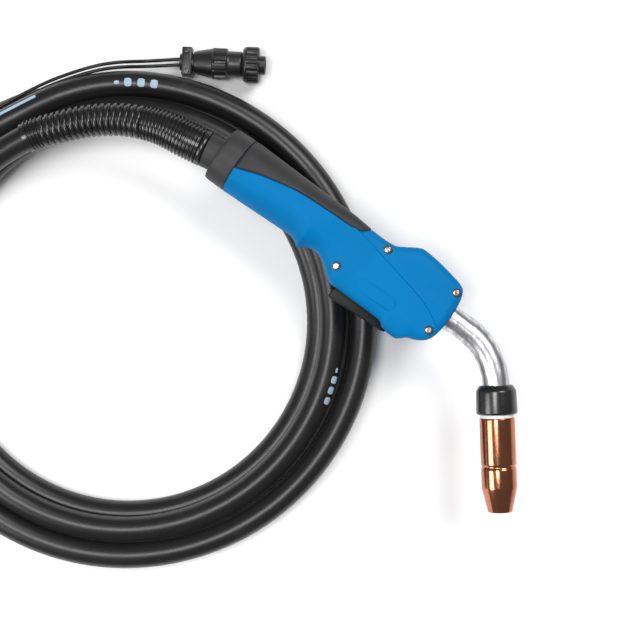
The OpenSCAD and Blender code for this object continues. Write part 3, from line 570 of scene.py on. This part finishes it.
jacketPrint = {
    "proud": 0.04,
    # cable angle, degrees round the jacket from its top towards the coil's outside, length, width
    "bars": [(1566.6, -2, 3.4, 2.4), (1563.9, -2, 5.0, 5.8), (1560.7, -2, 5.0, 5.8), (1557.6, -2, 5.0, 5.8),
             (382.2, 48, 3.2, 2.2), (379.6, 48, 5.0, 5.4), (376.7, 48, 5.0, 5.4), (373.8, 48, 5.0, 5.4)],
    "stripes": [(1592.5, 32, 36, 2.5), (516, 26, 36, 2.5)],
}


def jacketPatch(bm, angle, around, length, width, corner):
    # a thin patch laid on the jacket; the corner share pulls its corners in
    knots = cable["winding"]
    spot = aboutCoil(angle, throughKnots(knots, angle), throughKnots(knots, angle, 2))
    nearest = min(range(len(cableRoute.points)), key=lambda i: (cableRoute.points[i] - spot).length)
    point = cableRoute.points[nearest]
    along = (cableRoute.points[nearest + 1] - point).normalized()
    middle = cableRoute.reach[nearest] + (spot - point).dot(along)
    steps = max(8, round(length))
    made = bmesh.ops.create_grid(bm, x_segments=steps, y_segments=8, size=1)
    radius = cable["diameter"] / 2 + jacketPrint["proud"]
    for vert in made["verts"]:
        x, y, _ = vert.co
        along = x * math.sqrt(1 - corner * y * y) * length / 2
        turn = math.radians(around) + y * math.sqrt(1 - corner * x * x) * width / 2 / radius
        outward = Vector((-math.sin(turn), math.cos(turn), 0)) * radius * mm
        vert.co = cableRoute.at(middle + along * mm) @ outward


for number, (group, corner) in enumerate((("bars", 0.32), ("stripes", 0.03))):
    bm = bmesh.new()
    for angle, around, length, width in jacketPrint[group]:
        jacketPatch(bm, angle, around, length, width, corner)
    piece = newPiece("jacketPrint" + str(number), bm, "print", None)
    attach(piece, "cable")


# ---- handle: two blue shells under two soft pads, on one common surface

handle = {
    # each list gives (along the handle, value) in millimetres
    "back": 14.75, "front": 184, "rows": 150, "wall": 2.4,
    "acrossLow": 14, "acrossFlat": 8, "acrossHigh": 14, "groove": 0.4, "parting": 0.11,
    "lowerEdge": [(14.7, -19.5), (58, -18.6), (67, -18.4), (73, -20.4), (75.3, -22.4), (79, -20), (86, -17.5),
                  (95, -20.2), (102, -25.9), (108, -29.3), (146.5, -30.6), (151.5, -33.6), (162, -34.2),
                  (168.5, -29.4), (173, -27.9), (178.5, -24.5), (181.8, -19.5), (183.4, -12), (184, -9)],
    "upperEdge": [(14.7, 19.5), (93, 16.4), (111, 14.7), (119.3, 14.3), (126.8, 14.7), (134, 18.1),
                  (140.8, 22.3), (144.6, 23.7), (174, 19.5), (180, 17), (182.3, 12.8), (183.7, 6), (184, 4)],
    "seam": [(14.7, -4.1), (36, 2.7), (63.5, 7.5), (83.4, 8.1), (96.6, 8.3), (103, 8.8), (107.6, 8.2),
             (122, 5), (136.4, 1.6), (154.4, -2.5), (168, -6.9), (179, -12.9), (184, -15.5)],
    "ridge": [(14.7, -11), (42, -8.6), (56, -7.5), (74, -6.4), (88, -5.9), (98, -7.1), (104, -9.9),
              (110, -11.7), (120, -12.8), (130, -14), (151, -18.2), (170, -22.5), (184, -24)],
    "crown": [(14.7, 19.5), (70, 19.3), (100, 17.5), (178, 17.4), (182, 15.8), (183.6, 13), (184, 11)],
    "square": [(14.7, 2), (55, 2.1), (84, 2.9), (104, 5), (140, 7), (184, 7)],
    "lowFacet": [(14.7, 0.1), (50, 0.2), (90, 0.16), (104, 0.15), (116, 0.19), (170, 0.19), (184, 0.14)],
    "padEdge": [(14.7, -4.1), (36, 2.7), (63.5, 7.5), (83.4, 8.1), (96.6, 8.3), (103, 9.2), (107.5, 11.8),
                (110, 15)],
    # a low rib before the fingers and a hollow under them: height, where, width, and the v it fades in over
    "fingerForms": [(0.7, 75.6, 1.6, 11, 19), (-1.3, 88, 9, 8, 15)],
    "beyondSeam": 0.05, "noseSlope": 0.035,
    "hollow": (10, 180), "padStep": 1.5, "padEnd": 109.5, "innerStepEnd": 112, "groovedFor": (104, 181.5),
}


def bell(x, centre, width):
    return math.exp(-((x - centre) / width) ** 2)


def ramp(x, low, high):
    t = min(max((x - low) / (high - low), 0), 1)
    return t * t * (3 - 2 * t)


def skinPoint(u, v, sink):
    # a point of the handle's upper half over (u, v), sunk under the outer surface
    low = throughKnots(handle["lowerEdge"], u)
    high = throughKnots(handle["upperEdge"], u)
    crown = throughKnots(handle["crown"], u)
    square = throughKnots(handle["square"], u)
    middle, half = (low + high) / 2, (high - low) / 2
    across = min(abs(v - middle) / half, 1)
    lift = (1 - across ** square) ** (1 / square)
    z = crown * lift
    z -= throughKnots(handle["lowFacet"], u) * max(throughKnots(handle["ridge"], u) - v, 0) * lift
    z -= handle["beyondSeam"] * max(v - throughKnots(handle["seam"], u), 0) * ramp(u, 108, 125) * lift
    z -= handle["noseSlope"] * max(u + 1.4 * v - 150, 0) * ramp(v, 0, 2) * ramp(u, 125, 140) * lift
    for height, along, width, fadeLow, fadeHigh in handle["fingerForms"]:
        z += height * bell(u, along, width) * ramp(-v, fadeLow, fadeHigh) * lift
    shrink = (half - sink) / half
    return middle + (v - middle) * shrink, max(z * (crown - sink) / crown, 0)


def acrossPlaces(u):
    # where the lengthwise lines cross one section: lower edge, ridge, groove, upper edge
    low = throughKnots(handle["lowerEdge"], u)
    high = throughKnots(handle["upperEdge"], u)
    width = high - low
    ridge = min(max(throughKnots(handle["ridge"], u), low + 0.1 * width), high - 0.4 * width)
    seam = min(max(throughKnots(handle["seam"], u), ridge + 0.06 * width), high - 0.15 * width)
    groove = handle["groove"]
    places = [low + (ridge - low) * (1 - math.cos(math.pi / 2 * k / handle["acrossLow"]))
              for k in range(handle["acrossLow"])]
    flat = handle["acrossFlat"]
    places += [ridge + (seam - groove - ridge) * k / flat for k in range(flat)]
    places += [seam - groove, seam, seam + groove]
    first = seam + groove
    places += [first + (high - first) * math.sin(math.pi / 2 * k / handle["acrossHigh"])
               for k in range(1, handle["acrossHigh"] + 1)]
    return places, seam


def rowPlaces(first, last, rows):
    # even steps, closer together near the front face
    return [first + (last - first) * (1 - (1 - k / rows) ** 1.15) for k in range(rows + 1)]


def halfSolid(side, first, last, sinkAt, below):
    # closes one half down to the split plane; the end rows drop to the plane as end walls
    bm = bmesh.new()
    rows = rowPlaces(first, last, handle["rows"])
    rows = [rows[0]] + rows + [rows[-1]]
    columns = len(acrossPlaces(first)[0])
    bmesh.ops.create_grid(bm, x_segments=len(rows) - 1, y_segments=columns - 1, size=1)
    sections = [acrossPlaces(u) for u in rows]
    for vert in bm.verts:
        row = round((vert.co.x + 1) / 2 * (len(rows) - 1))
        column = round((vert.co.y + 1) / 2 * (columns - 1))
        u = rows[row]
        places, seam = sections[row]
        v, z = skinPoint(u, places[column], sinkAt(u, places[column], seam))
        if row in (0, len(rows) - 1):
            z = 0
        vert.co = place(u, v, max(z, handle["parting"]) * side)
    bmesh.ops.remove_doubles(bm, verts=bm.verts, dist=1e-6)
    rim = [edge for edge in bm.edges if edge.is_boundary]
    if below:
        made = bmesh.ops.extrude_edge_only(bm, edges=rim)["geom"]
        verts = [item for item in made if isinstance(item, bmesh.types.BMVert)]
        bmesh.ops.translate(bm, vec=(0, 0, -below * side * mm), verts=verts)
        rim = [edge for edge in bm.edges if edge.is_boundary]
    bmesh.ops.holes_fill(bm, edges=rim, sides=0)
    bmesh.ops.triangulate(bm, faces=[face for face in bm.faces if len(face.verts) > 4])
    return bm


def outerSink(u, v, seam):
    # the seat of the pad, and the thin groove that carries its line on over the head
    if u < handle["padEnd"] and v > throughKnots(handle["padEdge"], u) - 0.01:
        return handle["padStep"]
    first, last = handle["groovedFor"]
    return handle["groove"] if first < u < last and abs(v - seam) < 0.1 else 0


def innerSink(u, v, seam):
    return handle["wall"] + (handle["padStep"] if u < handle["innerStepEnd"] else 0)


badge = {"centre": (135.5, -18.5), "straight": 10.5, "radius": 4.5, "deep": 0.55}


def badgeCutter():
    # a blank pill, its floor following the surface that it is sunk into
    bm = bmesh.new()
    u, v = badge["centre"]
    outline = []
    for end in (1, -1):
        for angle in range(-90, 91, 15):
            out = heading(angle) * badge["radius"] * end
            outline.append((u + end * badge["straight"] + out.x, v + out.y))
    prism(bm, outline, 0, 24)
    slope = (skinPoint(u, v + 2, 0)[1] - skinPoint(u, v - 2, 0)[1]) / 4
    for vert in bm.verts:
        if vert.co.z < 0.001:
            across = (vert.co.y - place(u, v).y) / mm
            vert.co.z = (skinPoint(u, v, 0)[1] + slope * across - badge["deep"]) * mm
    return bm


screws = {
    "spots": [(125.5, 9.5), (104.2, -18.1), (177.6, 12.2), (176.5, -17.9)],
    "recess": 3.15, "recessDeep": 2.2, "above": 24,
    "head": 1.98, "headDeep": 2.2, "headSunk": 0.35, "shank": 1.4, "endShort": 1.4,
    "nut": 2.6, "nutBore": 1.45, "nutSeat": 2.3,
    # painted shade: a black ring laid in each screw recess round the head, darkening the recess where only its
    # shade falls
    "paintedShadeRingSunk": 0.45, "paintedShadeRing": [(0, 2.02), (0, 3.12, 0.2), (-1.2, 3.12), (-1.2, 2.02)],
}
neckLine = -2.6
neckCut = {"radius": 8.9, "middle": 185, "length": 30}
triggerCut = {"outline": [(109, -22), (109, -45), (155, -45), (158.2, -33), (158.2, -26), (150, -24)],
              "half": 7.5}
for name, side, node in (("shellTop", 1, "shell_right"), ("shellUnder", -1, "shell_left")):
    shell = newPiece(name, halfSolid(side, handle["back"], handle["front"], outerSink, 0), "shell_blue",
                     "handle", 28)
    hollow = newPiece("hollow", halfSolid(side, *handle["hollow"], innerSink, 1), "shell_blue", None)
    cuts = bmesh.new()
    for spot in screws["spots"]:
        seat = skinPoint(*spot, 0)[1] - screws["recessDeep"]
        ends = sorted((seat * side, screws["above"] * side))
        disc(cuts, spot, screws["recess"], *ends)
    neckHole = bmesh.ops.create_cone(cuts, cap_ends=True, segments=64, radius1=neckCut["radius"],
                                     radius2=neckCut["radius"], depth=neckCut["length"])
    bmesh.ops.transform(cuts, matrix=handleFrame @ Matrix.Translation((0, -neckLine, neckCut["middle"])),
                        verts=neckHole["verts"])
    prism(cuts, triggerCut["outline"], -triggerCut["half"], triggerCut["half"])
    slotCut = newPiece("cuts", cuts, "shell_blue", None)
    cutters = [hollow, slotCut]
    if side > 0:
        cutters.append(newPiece("badge", badgeCutter(), "shell_blue", None))
    carve(shell, *cutters)
    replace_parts(shell, node)
print("shells carved")

pad = {"rows": 90, "across": 22, "start": 14.9, "end": 109.4, "proud": 0.25, "gap": 0.35, "thick": 1.3,
       "rimFrom": 16.5, "rim": 3.0, "foot": 0.06}
for name, side, node in (("padTop", 1, "grip_pad_right"), ("padUnder", -1, "grip_pad_left")):
    bm = bmesh.new()
    bmesh.ops.create_grid(bm, x_segments=pad["rows"], y_segments=pad["across"], size=1)
    for vert in bm.verts:
        u = pad["start"] + (pad["end"] - pad["start"]) * (vert.co.x + 1) / 2
        share = (vert.co.y + 1) / 2
        low = throughKnots(handle["padEdge"], u) + pad["gap"]
        high = throughKnots(handle["upperEdge"], u)
        v = low + (high - low) * math.sin(math.pi / 2 * share)
        edge = 0.45 * (1 - ramp(v - low, 0, 1.2)) + 0.5 * (1 - ramp(u - pad["start"], 0, 1.0))
        rearRim = 0.35 * (1 - ramp(u, pad["rimFrom"], pad["rimFrom"] + pad["rim"]))
        v, z = skinPoint(u, v, edge + rearRim - pad["proud"])
        if share == 1:
            z = pad["foot"]
        vert.co = place(u, v, z * side)
    piece = newPiece(name, bm, "pad_grey", "handle", 40)
    wall = piece.modifiers.new("wall", "SOLIDIFY")
    wall.thickness = pad["thick"] * mm
    wall.offset = -1
    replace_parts(piece, node)
print("pads laid")

# ---- collar, screws, trigger

turnedPiece("swivelCollar",
            [(0, 17.2, 0.8), (0, 18.6, 1.2), (2.2, 19.2, 1.5), (13.8, 19.45, 0.6), (14.6, 19.0, 0.3),
             (14.6, 16.6), (9, 16.4), (4.5, 15.3), (1.2, 15.8, 0.8)],
            handleFrame, "collar_dark", "handle", "swivel_collar", 96)


def screwSet(name, spots, radius, depth, shank, body, node, finish="steel_fastener"):
    bm = bmesh.new()
    holes = bmesh.new()
    for axis, length in spots:
        turned(bm, [(0, 0), (0, radius * 0.62), (0, radius, 0.5), (-depth, radius, 0.2), (-depth, shank),
                    (-length, shank, 0.3), (-length, 0)], axis, 32)
        socket = bmesh.ops.create_cone(holes, cap_ends=True, segments=6, radius1=radius * 0.56,
                                       radius2=radius * 0.56, depth=3)
        bmesh.ops.transform(holes, matrix=axis, verts=socket["verts"])
    piece = newPiece(name, bm, "steel_fastener", body, 30)
    carve(piece, newPiece("sockets", holes, "steel_fastener", None))
    piece.data.materials.clear()
    piece.data.materials.append(finishes[finish])
    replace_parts(piece, node)


def upright(u, v, z):
    # local Z up from a handle place; local units are millimetres
    return Matrix.Translation(place(u, v, z)) @ Matrix.Scale(mm, 4)


surface = [skinPoint(u, v, 0)[1] for u, v in screws["spots"]]
screwPlaces = [(u, v, z) for (u, v), z in zip(screws["spots"], surface)]
screwSet("shellScrews", [(upright(u, v, z - screws["headSunk"]), 2 * z - screws["endShort"])
                         for u, v, z in screwPlaces],
         screws["head"], screws["headDeep"], screws["shank"], "handle", "shell_screws")
nuts = bmesh.new()
holes = bmesh.new()
for u, v, z in screwPlaces:
    seat = upright(u, v, screws["nutSeat"] - z)
    bmesh.ops.create_cone(nuts, cap_ends=True, segments=6, radius1=screws["nut"], radius2=screws["nut"],
                          depth=2.6, matrix=seat)
    bmesh.ops.create_cone(holes, cap_ends=True, segments=32, radius1=screws["nutBore"],
                          radius2=screws["nutBore"], depth=4, matrix=seat)
shellNuts = newPiece("shellNuts", nuts, "steel_fastener", "handle", 30)
carve(shellNuts, newPiece("holes", holes, "steel_fastener", None))
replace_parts(shellNuts, "shell_nuts")

# painted shade: black rings in the screw recesses, standing in for the shade down round each screw head
bm = bmesh.new()
for u, v, z in screwPlaces:
    turned(bm, screws["paintedShadeRing"], upright(u, v, z - screws["paintedShadeRingSunk"]), 40)
paintedShadeRings = newPiece("screwPaintedShadeRings", bm, "o_ring", None)
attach(paintedShadeRings, "handle")

trigger = {
    "pivot": (152, -31), "half": 7, "round": 0.9, "pinHalf": 7.3, "pinRadius": 1.5,
    # from the pivot
    "outline": [(-41.4, -5.6), (-39, -6), (1.5, -4.4), (3.4, -2), (0.2, 3.6), (-41, 3.8)],
}
bm = bmesh.new()
pivotU, pivotV = trigger["pivot"]
prism(bm, [(pivotU + u, pivotV + v) for u, v in trigger["outline"]],
      -trigger["half"], trigger["half"], soften=trigger["round"])
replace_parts(newPiece("triggerBlade", bm, "trigger_black", "trigger", 40), "trigger")

half, radius = trigger["pinHalf"], trigger["pinRadius"]
turnedPiece("triggerPin", [(-half, 0), (-half, radius, 0.3), (half, radius, 0.3), (half, 0)],
            upright(pivotU, pivotV, 0), "steel_fastener", "handle", "trigger_pin", 32)

spring = {"turns": 3.2, "stepsPerTurn": 20, "radius": 3.4, "wire": 0.9, "low": 4.2, "pitch": 0.92}
shape = bpy.data.curves.new("triggerSpring", "CURVE")
shape.dimensions = "3D"
shape.bevel_depth = spring["wire"] / 2 * mm
shape.bevel_resolution = 2
shape.use_fill_caps = True
line = shape.splines.new("POLY")
steps = spring["stepsPerTurn"]
coils = [k / steps for k in range(int(spring["turns"] * steps) + 1)]
line.points.add(len(coils) - 1)
for spot, around in zip(line.points, coils):
    out = heading(around * 360) * spring["radius"]
    spot.co = (*place(pivotU + out.x, pivotV + out.y, spring["low"] + spring["pitch"] * around - 0.4), 1)
shape.materials.append(finishes["spring_steel"])
springPiece = bpy.data.objects.new("triggerSpring", shape)
scene.collection.objects.link(springPiece)
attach(springPiece, "trigger")
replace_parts(springPiece, "trigger_spring")
print("handle furnished")

# ---- neck and front end

neck = {
    "radius": 8.8, "bore": 7.6, "straight": 12.6, "bendRadius": 47.2, "bend": 53, "back": 8, "past": 6,
    # shallow dents: along, width, depth, turn
    "dents": [(15, 3.5, 0.055, 0.6), (22, 4, 0.03, -1.2)],
}


def neckRoute():
    points = [place(handle["front"] + s, neckLine) for s in (-neck["back"], 0, neck["straight"])]
    centre = place(handle["front"] + neck["straight"], neckLine - neck["bendRadius"])
    points += [centre + heading(90 - a) * neck["bendRadius"] * mm for a in range(1, neck["bend"] + 1)]
    return Route(points + [points[-1] + nozzleAxis * neck["past"] * mm])


def bent(bm, verts, route):
    # takes a piece made straight along Z, in millimetres, round a route
    for vert in verts:
        x, y, s = vert.co
        vert.co = route.at(s * mm) @ Vector((x * mm, y * mm, 0))


neckPath = neckRoute()
neckLength = neckPath.length / mm
bm = bmesh.new()
steps = 60
profile = [(neckLength * k / steps, neck["radius"]) for k in range(steps + 1)]
profile += [(neckLength * (1 - k / 12), neck["bore"]) for k in range(13)]
verts = turned(bm, profile, Matrix.Identity(4), 64)
for vert in verts:
    x, y, s = vert.co
    around = math.atan2(y, x)
    squeeze = 1
    for along, width, deep, turn in neck["dents"]:
        squeeze -= deep * bell(s, along, width) * (0.5 + 0.5 * math.cos(2 * around + turn))
    vert.co = (x * squeeze, y * squeeze, s)
bent(bm, verts, neckPath)
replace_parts(newPiece("neckTube", bm, "neck_bright", "handle"), "neck_armour")

turnedPiece("neckInsulator",
            [(0, 8.85), (0, 10.9, 0.3), (3.4, 13.1, 0.5), (4.6, 13.2, 0.4), (18, 13.5, 0.5),
             (19, 12.8, 0.4), (19, 7.85), (6.2, 7.85), (6.1, 8.85)],
            nozzleFrame, "insulator_black", "handle", "nozzle_insulator", 96)
turnedPiece("whiteRing", [(19.05, 7.85), (19.05, 11, 0.3), (21.35, 11, 0.4), (21.35, 9.2), (37.3, 9.2, 0.3),
                          (37.3, 7.85)],
            nozzleFrame, "insulator_white", "handle", "white_insulator", 96)
back, waist, mouth = nozzleEnds["back"], 53.1, nozzleEnds["mouth"]
wide, narrow, taper = 11.6, 11.05, 16    # outside, waist, and length of the front cone
turnedPiece("copperNozzle",
            [(back, 10, 0.3), (back, wide, 0.6), (back + 1.2, wide), (waist - 1.5, wide, 0.4),
             (waist - 0.4, narrow, 0.4), (waist + 0.4, narrow, 0.4), (waist + 1.5, wide, 0.4),
             (mouth - taper, wide, 0.7), (mouth, 8, 0.5), (mouth, 6.4, 0.5), (mouth - taper, 10, 1)],
            nozzleFrame, "copper", "nozzle", "nozzle", 96, 25)
print("front end turned")

# ---- strain relief: a ribbed sleeve made straight, then taken along its route

relief = {
    "fineUntil": 44, "fineAtEnd": 14, "bore": 9.25,
    # pitch of the ribs, the rib's share of it, and the depth of the grooves
    "fine": (2.45, 0.58, 1.0), "coarse": (4.05, 0.7, 1.3),
    "radius": [(0, 12.4), (10, 12.6), (44, 11.2), (60, 10.9), (126, 10.6)],
}
reliefPath = Route(smoothThrough([place(*knot) for knot in cable["relief"]]
                                 + [aboutCoil(*cable["winding"][1])], 12)[:73])
reliefLength = reliefPath.length / mm
profile = [(0.4, relief["bore"]), (0.4, 12.0), (0.7, 12.3), (3.6, 12.4), (3.9, 12.1)]
s = 4.2
while s < reliefLength - relief["coarse"][0]:
    outer = throughKnots(relief["radius"], s)
    fine = s < relief["fineUntil"] or s > reliefLength - relief["fineAtEnd"]
    pitch, band, deep = relief["fine" if fine else "coarse"]
    for share, sink in ((0, deep), (0.06, 0.35), (0.16, 0.0), (band - 0.16, 0.0), (band - 0.06, 0.35),
                        (band, deep)):
        profile.append((s + share * pitch, outer - sink))
    s += pitch
profile.append((reliefLength - 0.3, 9.9))
profile.append((reliefLength - 0.3, relief["bore"]))
profile += [(reliefLength * (1 - k / 30), relief["bore"]) for k in range(1, 30)]
bm = bmesh.new()
verts = turned(bm, profile, Matrix.Identity(4), 40)
bent(bm, verts, reliefPath)
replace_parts(newPiece("ribbedRelief", bm, "relief_black", "cable", 50), "strain_relief")
print("strain relief:", round(reliefLength), "mm")

# ---- control plug, beside the coil

plugBody = {"steps": 96, "slots": 12, "slotted": (23.5, 32), "slotDegrees": 8, "slotShrink": 0.9}
clamp = {"lugs": (-7, 7), "along": 5, "lug": (6, 5.2, 7), "saddle": (3.2, 19.2, 7), "saddleUp": 4.7,
         "screwUp": 8}
bm = bmesh.new()
verts = turned(bm, [(0, 4.6), (0, 5.8, 0.3), (9.6, 6, 0.3), (9.6, 7.4, 0.5), (11.5, 8.0, 0.8),
                    (22.2, 10, 0.5), (22.6, 10.5, 0.4), (24.2, 10.5, 0.2), (31.6, 10.5, 0.2),
                    (32.6, 10, 0.4), (32.6, 8.9, 0.3), (34, 8.7, 0.3), (41.5, 8.7, 0.4), (42.6, 8.1),
                    (42.8, 6.45), (58.2, 6.45, 0.4), (58.5, 5.6), (46, 5.45), (46, 4.6)],
               Matrix.Identity(4), plugBody["steps"])
for vert in verts:
    x, y, s = vert.co
    around = math.degrees(math.atan2(y, x)) % (360 / plugBody["slots"])
    first, last = plugBody["slotted"]
    if first < s < last and math.hypot(x, y) > 10 and around < plugBody["slotDegrees"]:
        vert.co = (x * plugBody["slotShrink"], y * plugBody["slotShrink"], s)
bmesh.ops.transform(bm, matrix=plugFrame, verts=verts)
for y in clamp["lugs"]:
    lug = bmesh.ops.create_cube(bm, size=1, matrix=plugFrame @ Matrix.Translation((0, y, clamp["along"]))
                                @ Matrix.Diagonal((*clamp["lug"], 1)))
    edges = {edge for vert in lug["verts"] for edge in vert.link_edges}
    bmesh.ops.bevel(bm, geom=list(edges), offset=0.6 * mm, segments=2, profile=0.5, affect="EDGES",
                    material=-1)
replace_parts(newPiece("plugBody", bm, "plug_black", "cable"), "plug_shell")

bm = bmesh.new()
saddleFrame = plugFrame @ Matrix.Translation((clamp["saddleUp"], 0, clamp["along"]))
bmesh.ops.create_cube(bm, size=1, matrix=saddleFrame @ Matrix.Diagonal((*clamp["saddle"], 1)))
bmesh.ops.bevel(bm, geom=bm.edges[:], offset=0.9 * mm, segments=3, profile=0.5, affect="EDGES",
                material=-1)
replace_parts(newPiece("plugSaddle", bm, "plug_black", "cable"), "plug_saddle")
quarter = Matrix.Rotation(math.radians(90), 4, "Y")
screwSet("plugScrews",
         [(plugFrame @ Matrix.Translation((clamp["screwUp"], y, clamp["along"])) @ quarter, 10)
          for y in clamp["lugs"]],
         1.8, 1.6, 1.05, "cable", "plug_screws", "screw_dark")

ring = {"start": 43.1, "length": 11.1, "radius": 12.2, "flutes": 18, "steps": 144}
bm = bmesh.new()
start, end, wide = ring["start"], ring["start"] + ring["length"], ring["radius"]
verts = turned(bm, [(start, 6.75), (start, 10.6, 0.6), (start + 1.6, wide - 0.1, 0.8), (start + 2.6, wide),
                    (start + 3.0, wide), (end - 1.4, wide), (end - 1, wide, 0.4), (end, 11.4, 0.5),
                    (end, 6.75)],
               Matrix.Identity(4), ring["steps"])
for vert in verts:
    x, y, s = vert.co
    around = (math.degrees(math.atan2(y, x)) % (360 / ring["flutes"])) * ring["flutes"] / 360
    if s > start + 2.8 and math.hypot(x, y) > 11.2 and abs(around - 0.5) < 0.26:
        shrink = 1 - 0.075 * math.sqrt(1 - ((around - 0.5) / 0.27) ** 2)
        vert.co = (x * shrink, y * shrink, s)
bmesh.ops.transform(bm, matrix=plugFrame, verts=verts)
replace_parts(newPiece("couplingRing", bm, "plug_black", "coupling_ring"), "coupling_ring")
print("control plug made")

# ---- feeder connector, lying on the coil

for name, turn, node in (("feederTop", -90, "feeder_housing_left"),
                         ("feederUnder", 90, "feeder_housing_right")):
    bm = bmesh.new()
    r, first, length = feeder["radius"], feeder["relief"], feeder["length"]
    half = [(first, 9.3), (first, r - 3.6, 1), (first + 6, r - 0.1, 1.5), (first + 58, r - 0.1, 0.8),
            (first + 61.5, r - 2.1, 0.8), (first + 67, r - 2.1, 0.6), (first + length, r - 4.2, 0.8),
            (first + length, 7.7), (first + length - 4.6, 7.7), (first + length - 4.6, 10.5),
            (first + length - 13, 10.5), (first + length - 13, 9.3)]
    axis = feederFrame @ Matrix.Rotation(math.radians(turn), 4, "Z")
    turned(bm, half, axis, 48, 180)
    piece = newPiece(name, bm, "feeder_black", "cable")
    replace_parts(piece, node)
print("feeder connector made")

# ---- bench and light

bench = {"size": 60, "gap": 0.0002}
bm = bmesh.new()
bmesh.ops.create_grid(bm, x_segments=1, y_segments=1, size=bench["size"] / 2)
mesh = bpy.data.meshes.new("bench")
bm.to_mesh(mesh)
bm.free()
paper = Finish("paper", {"Base Color": (0.92, 0.92, 0.92), "Roughness": 0.9, "Specular IOR Level": 0.1})
mesh.materials.append(paper.material)
table = bpy.data.objects.new("bench", mesh)
table.location = (0, 0, floorZ * mm - bench["gap"])
scene.collection.objects.link(table)

lights = {
    # place, size, watts
    "softbox": ((-0.42, -0.14, 1.5), 0.48, 11.5),
    "card": ((-0.62, -0.72, 0.6), 0.5, 6.5),
}
daylight = {"from": (0.02, 0.98, 1.35), "angle": 28, "strength": 2.05}
roomStrength = 0.2
aim = Vector((-0.15, 0, 0))


def lampAt(name, kind, spot):
    lamp = bpy.data.objects.new(name, bpy.data.lights.new(name, kind))
    lamp.location = spot
    lamp.rotation_euler = (aim - Vector(spot)).to_track_quat("-Z", "Y").to_euler()
    scene.collection.objects.link(lamp)
    return lamp.data


for name, (spot, size, watts) in lights.items():
    panel = lampAt(name, "AREA", spot)
    panel.size = size
    panel.energy = watts
broad = lampAt("daylight", "SUN", daylight["from"])
broad.angle = math.radians(daylight["angle"])
broad.energy = daylight["strength"]
room = bpy.data.worlds.new("room")
room.use_nodes = True
room.node_tree.nodes["Background"].inputs["Color"].default_value = (1, 1, 1, 1)
room.node_tree.nodes["Background"].inputs["Strength"].default_value = roomStrength
scene.world = room
scene.view_settings.view_transform = "Standard"
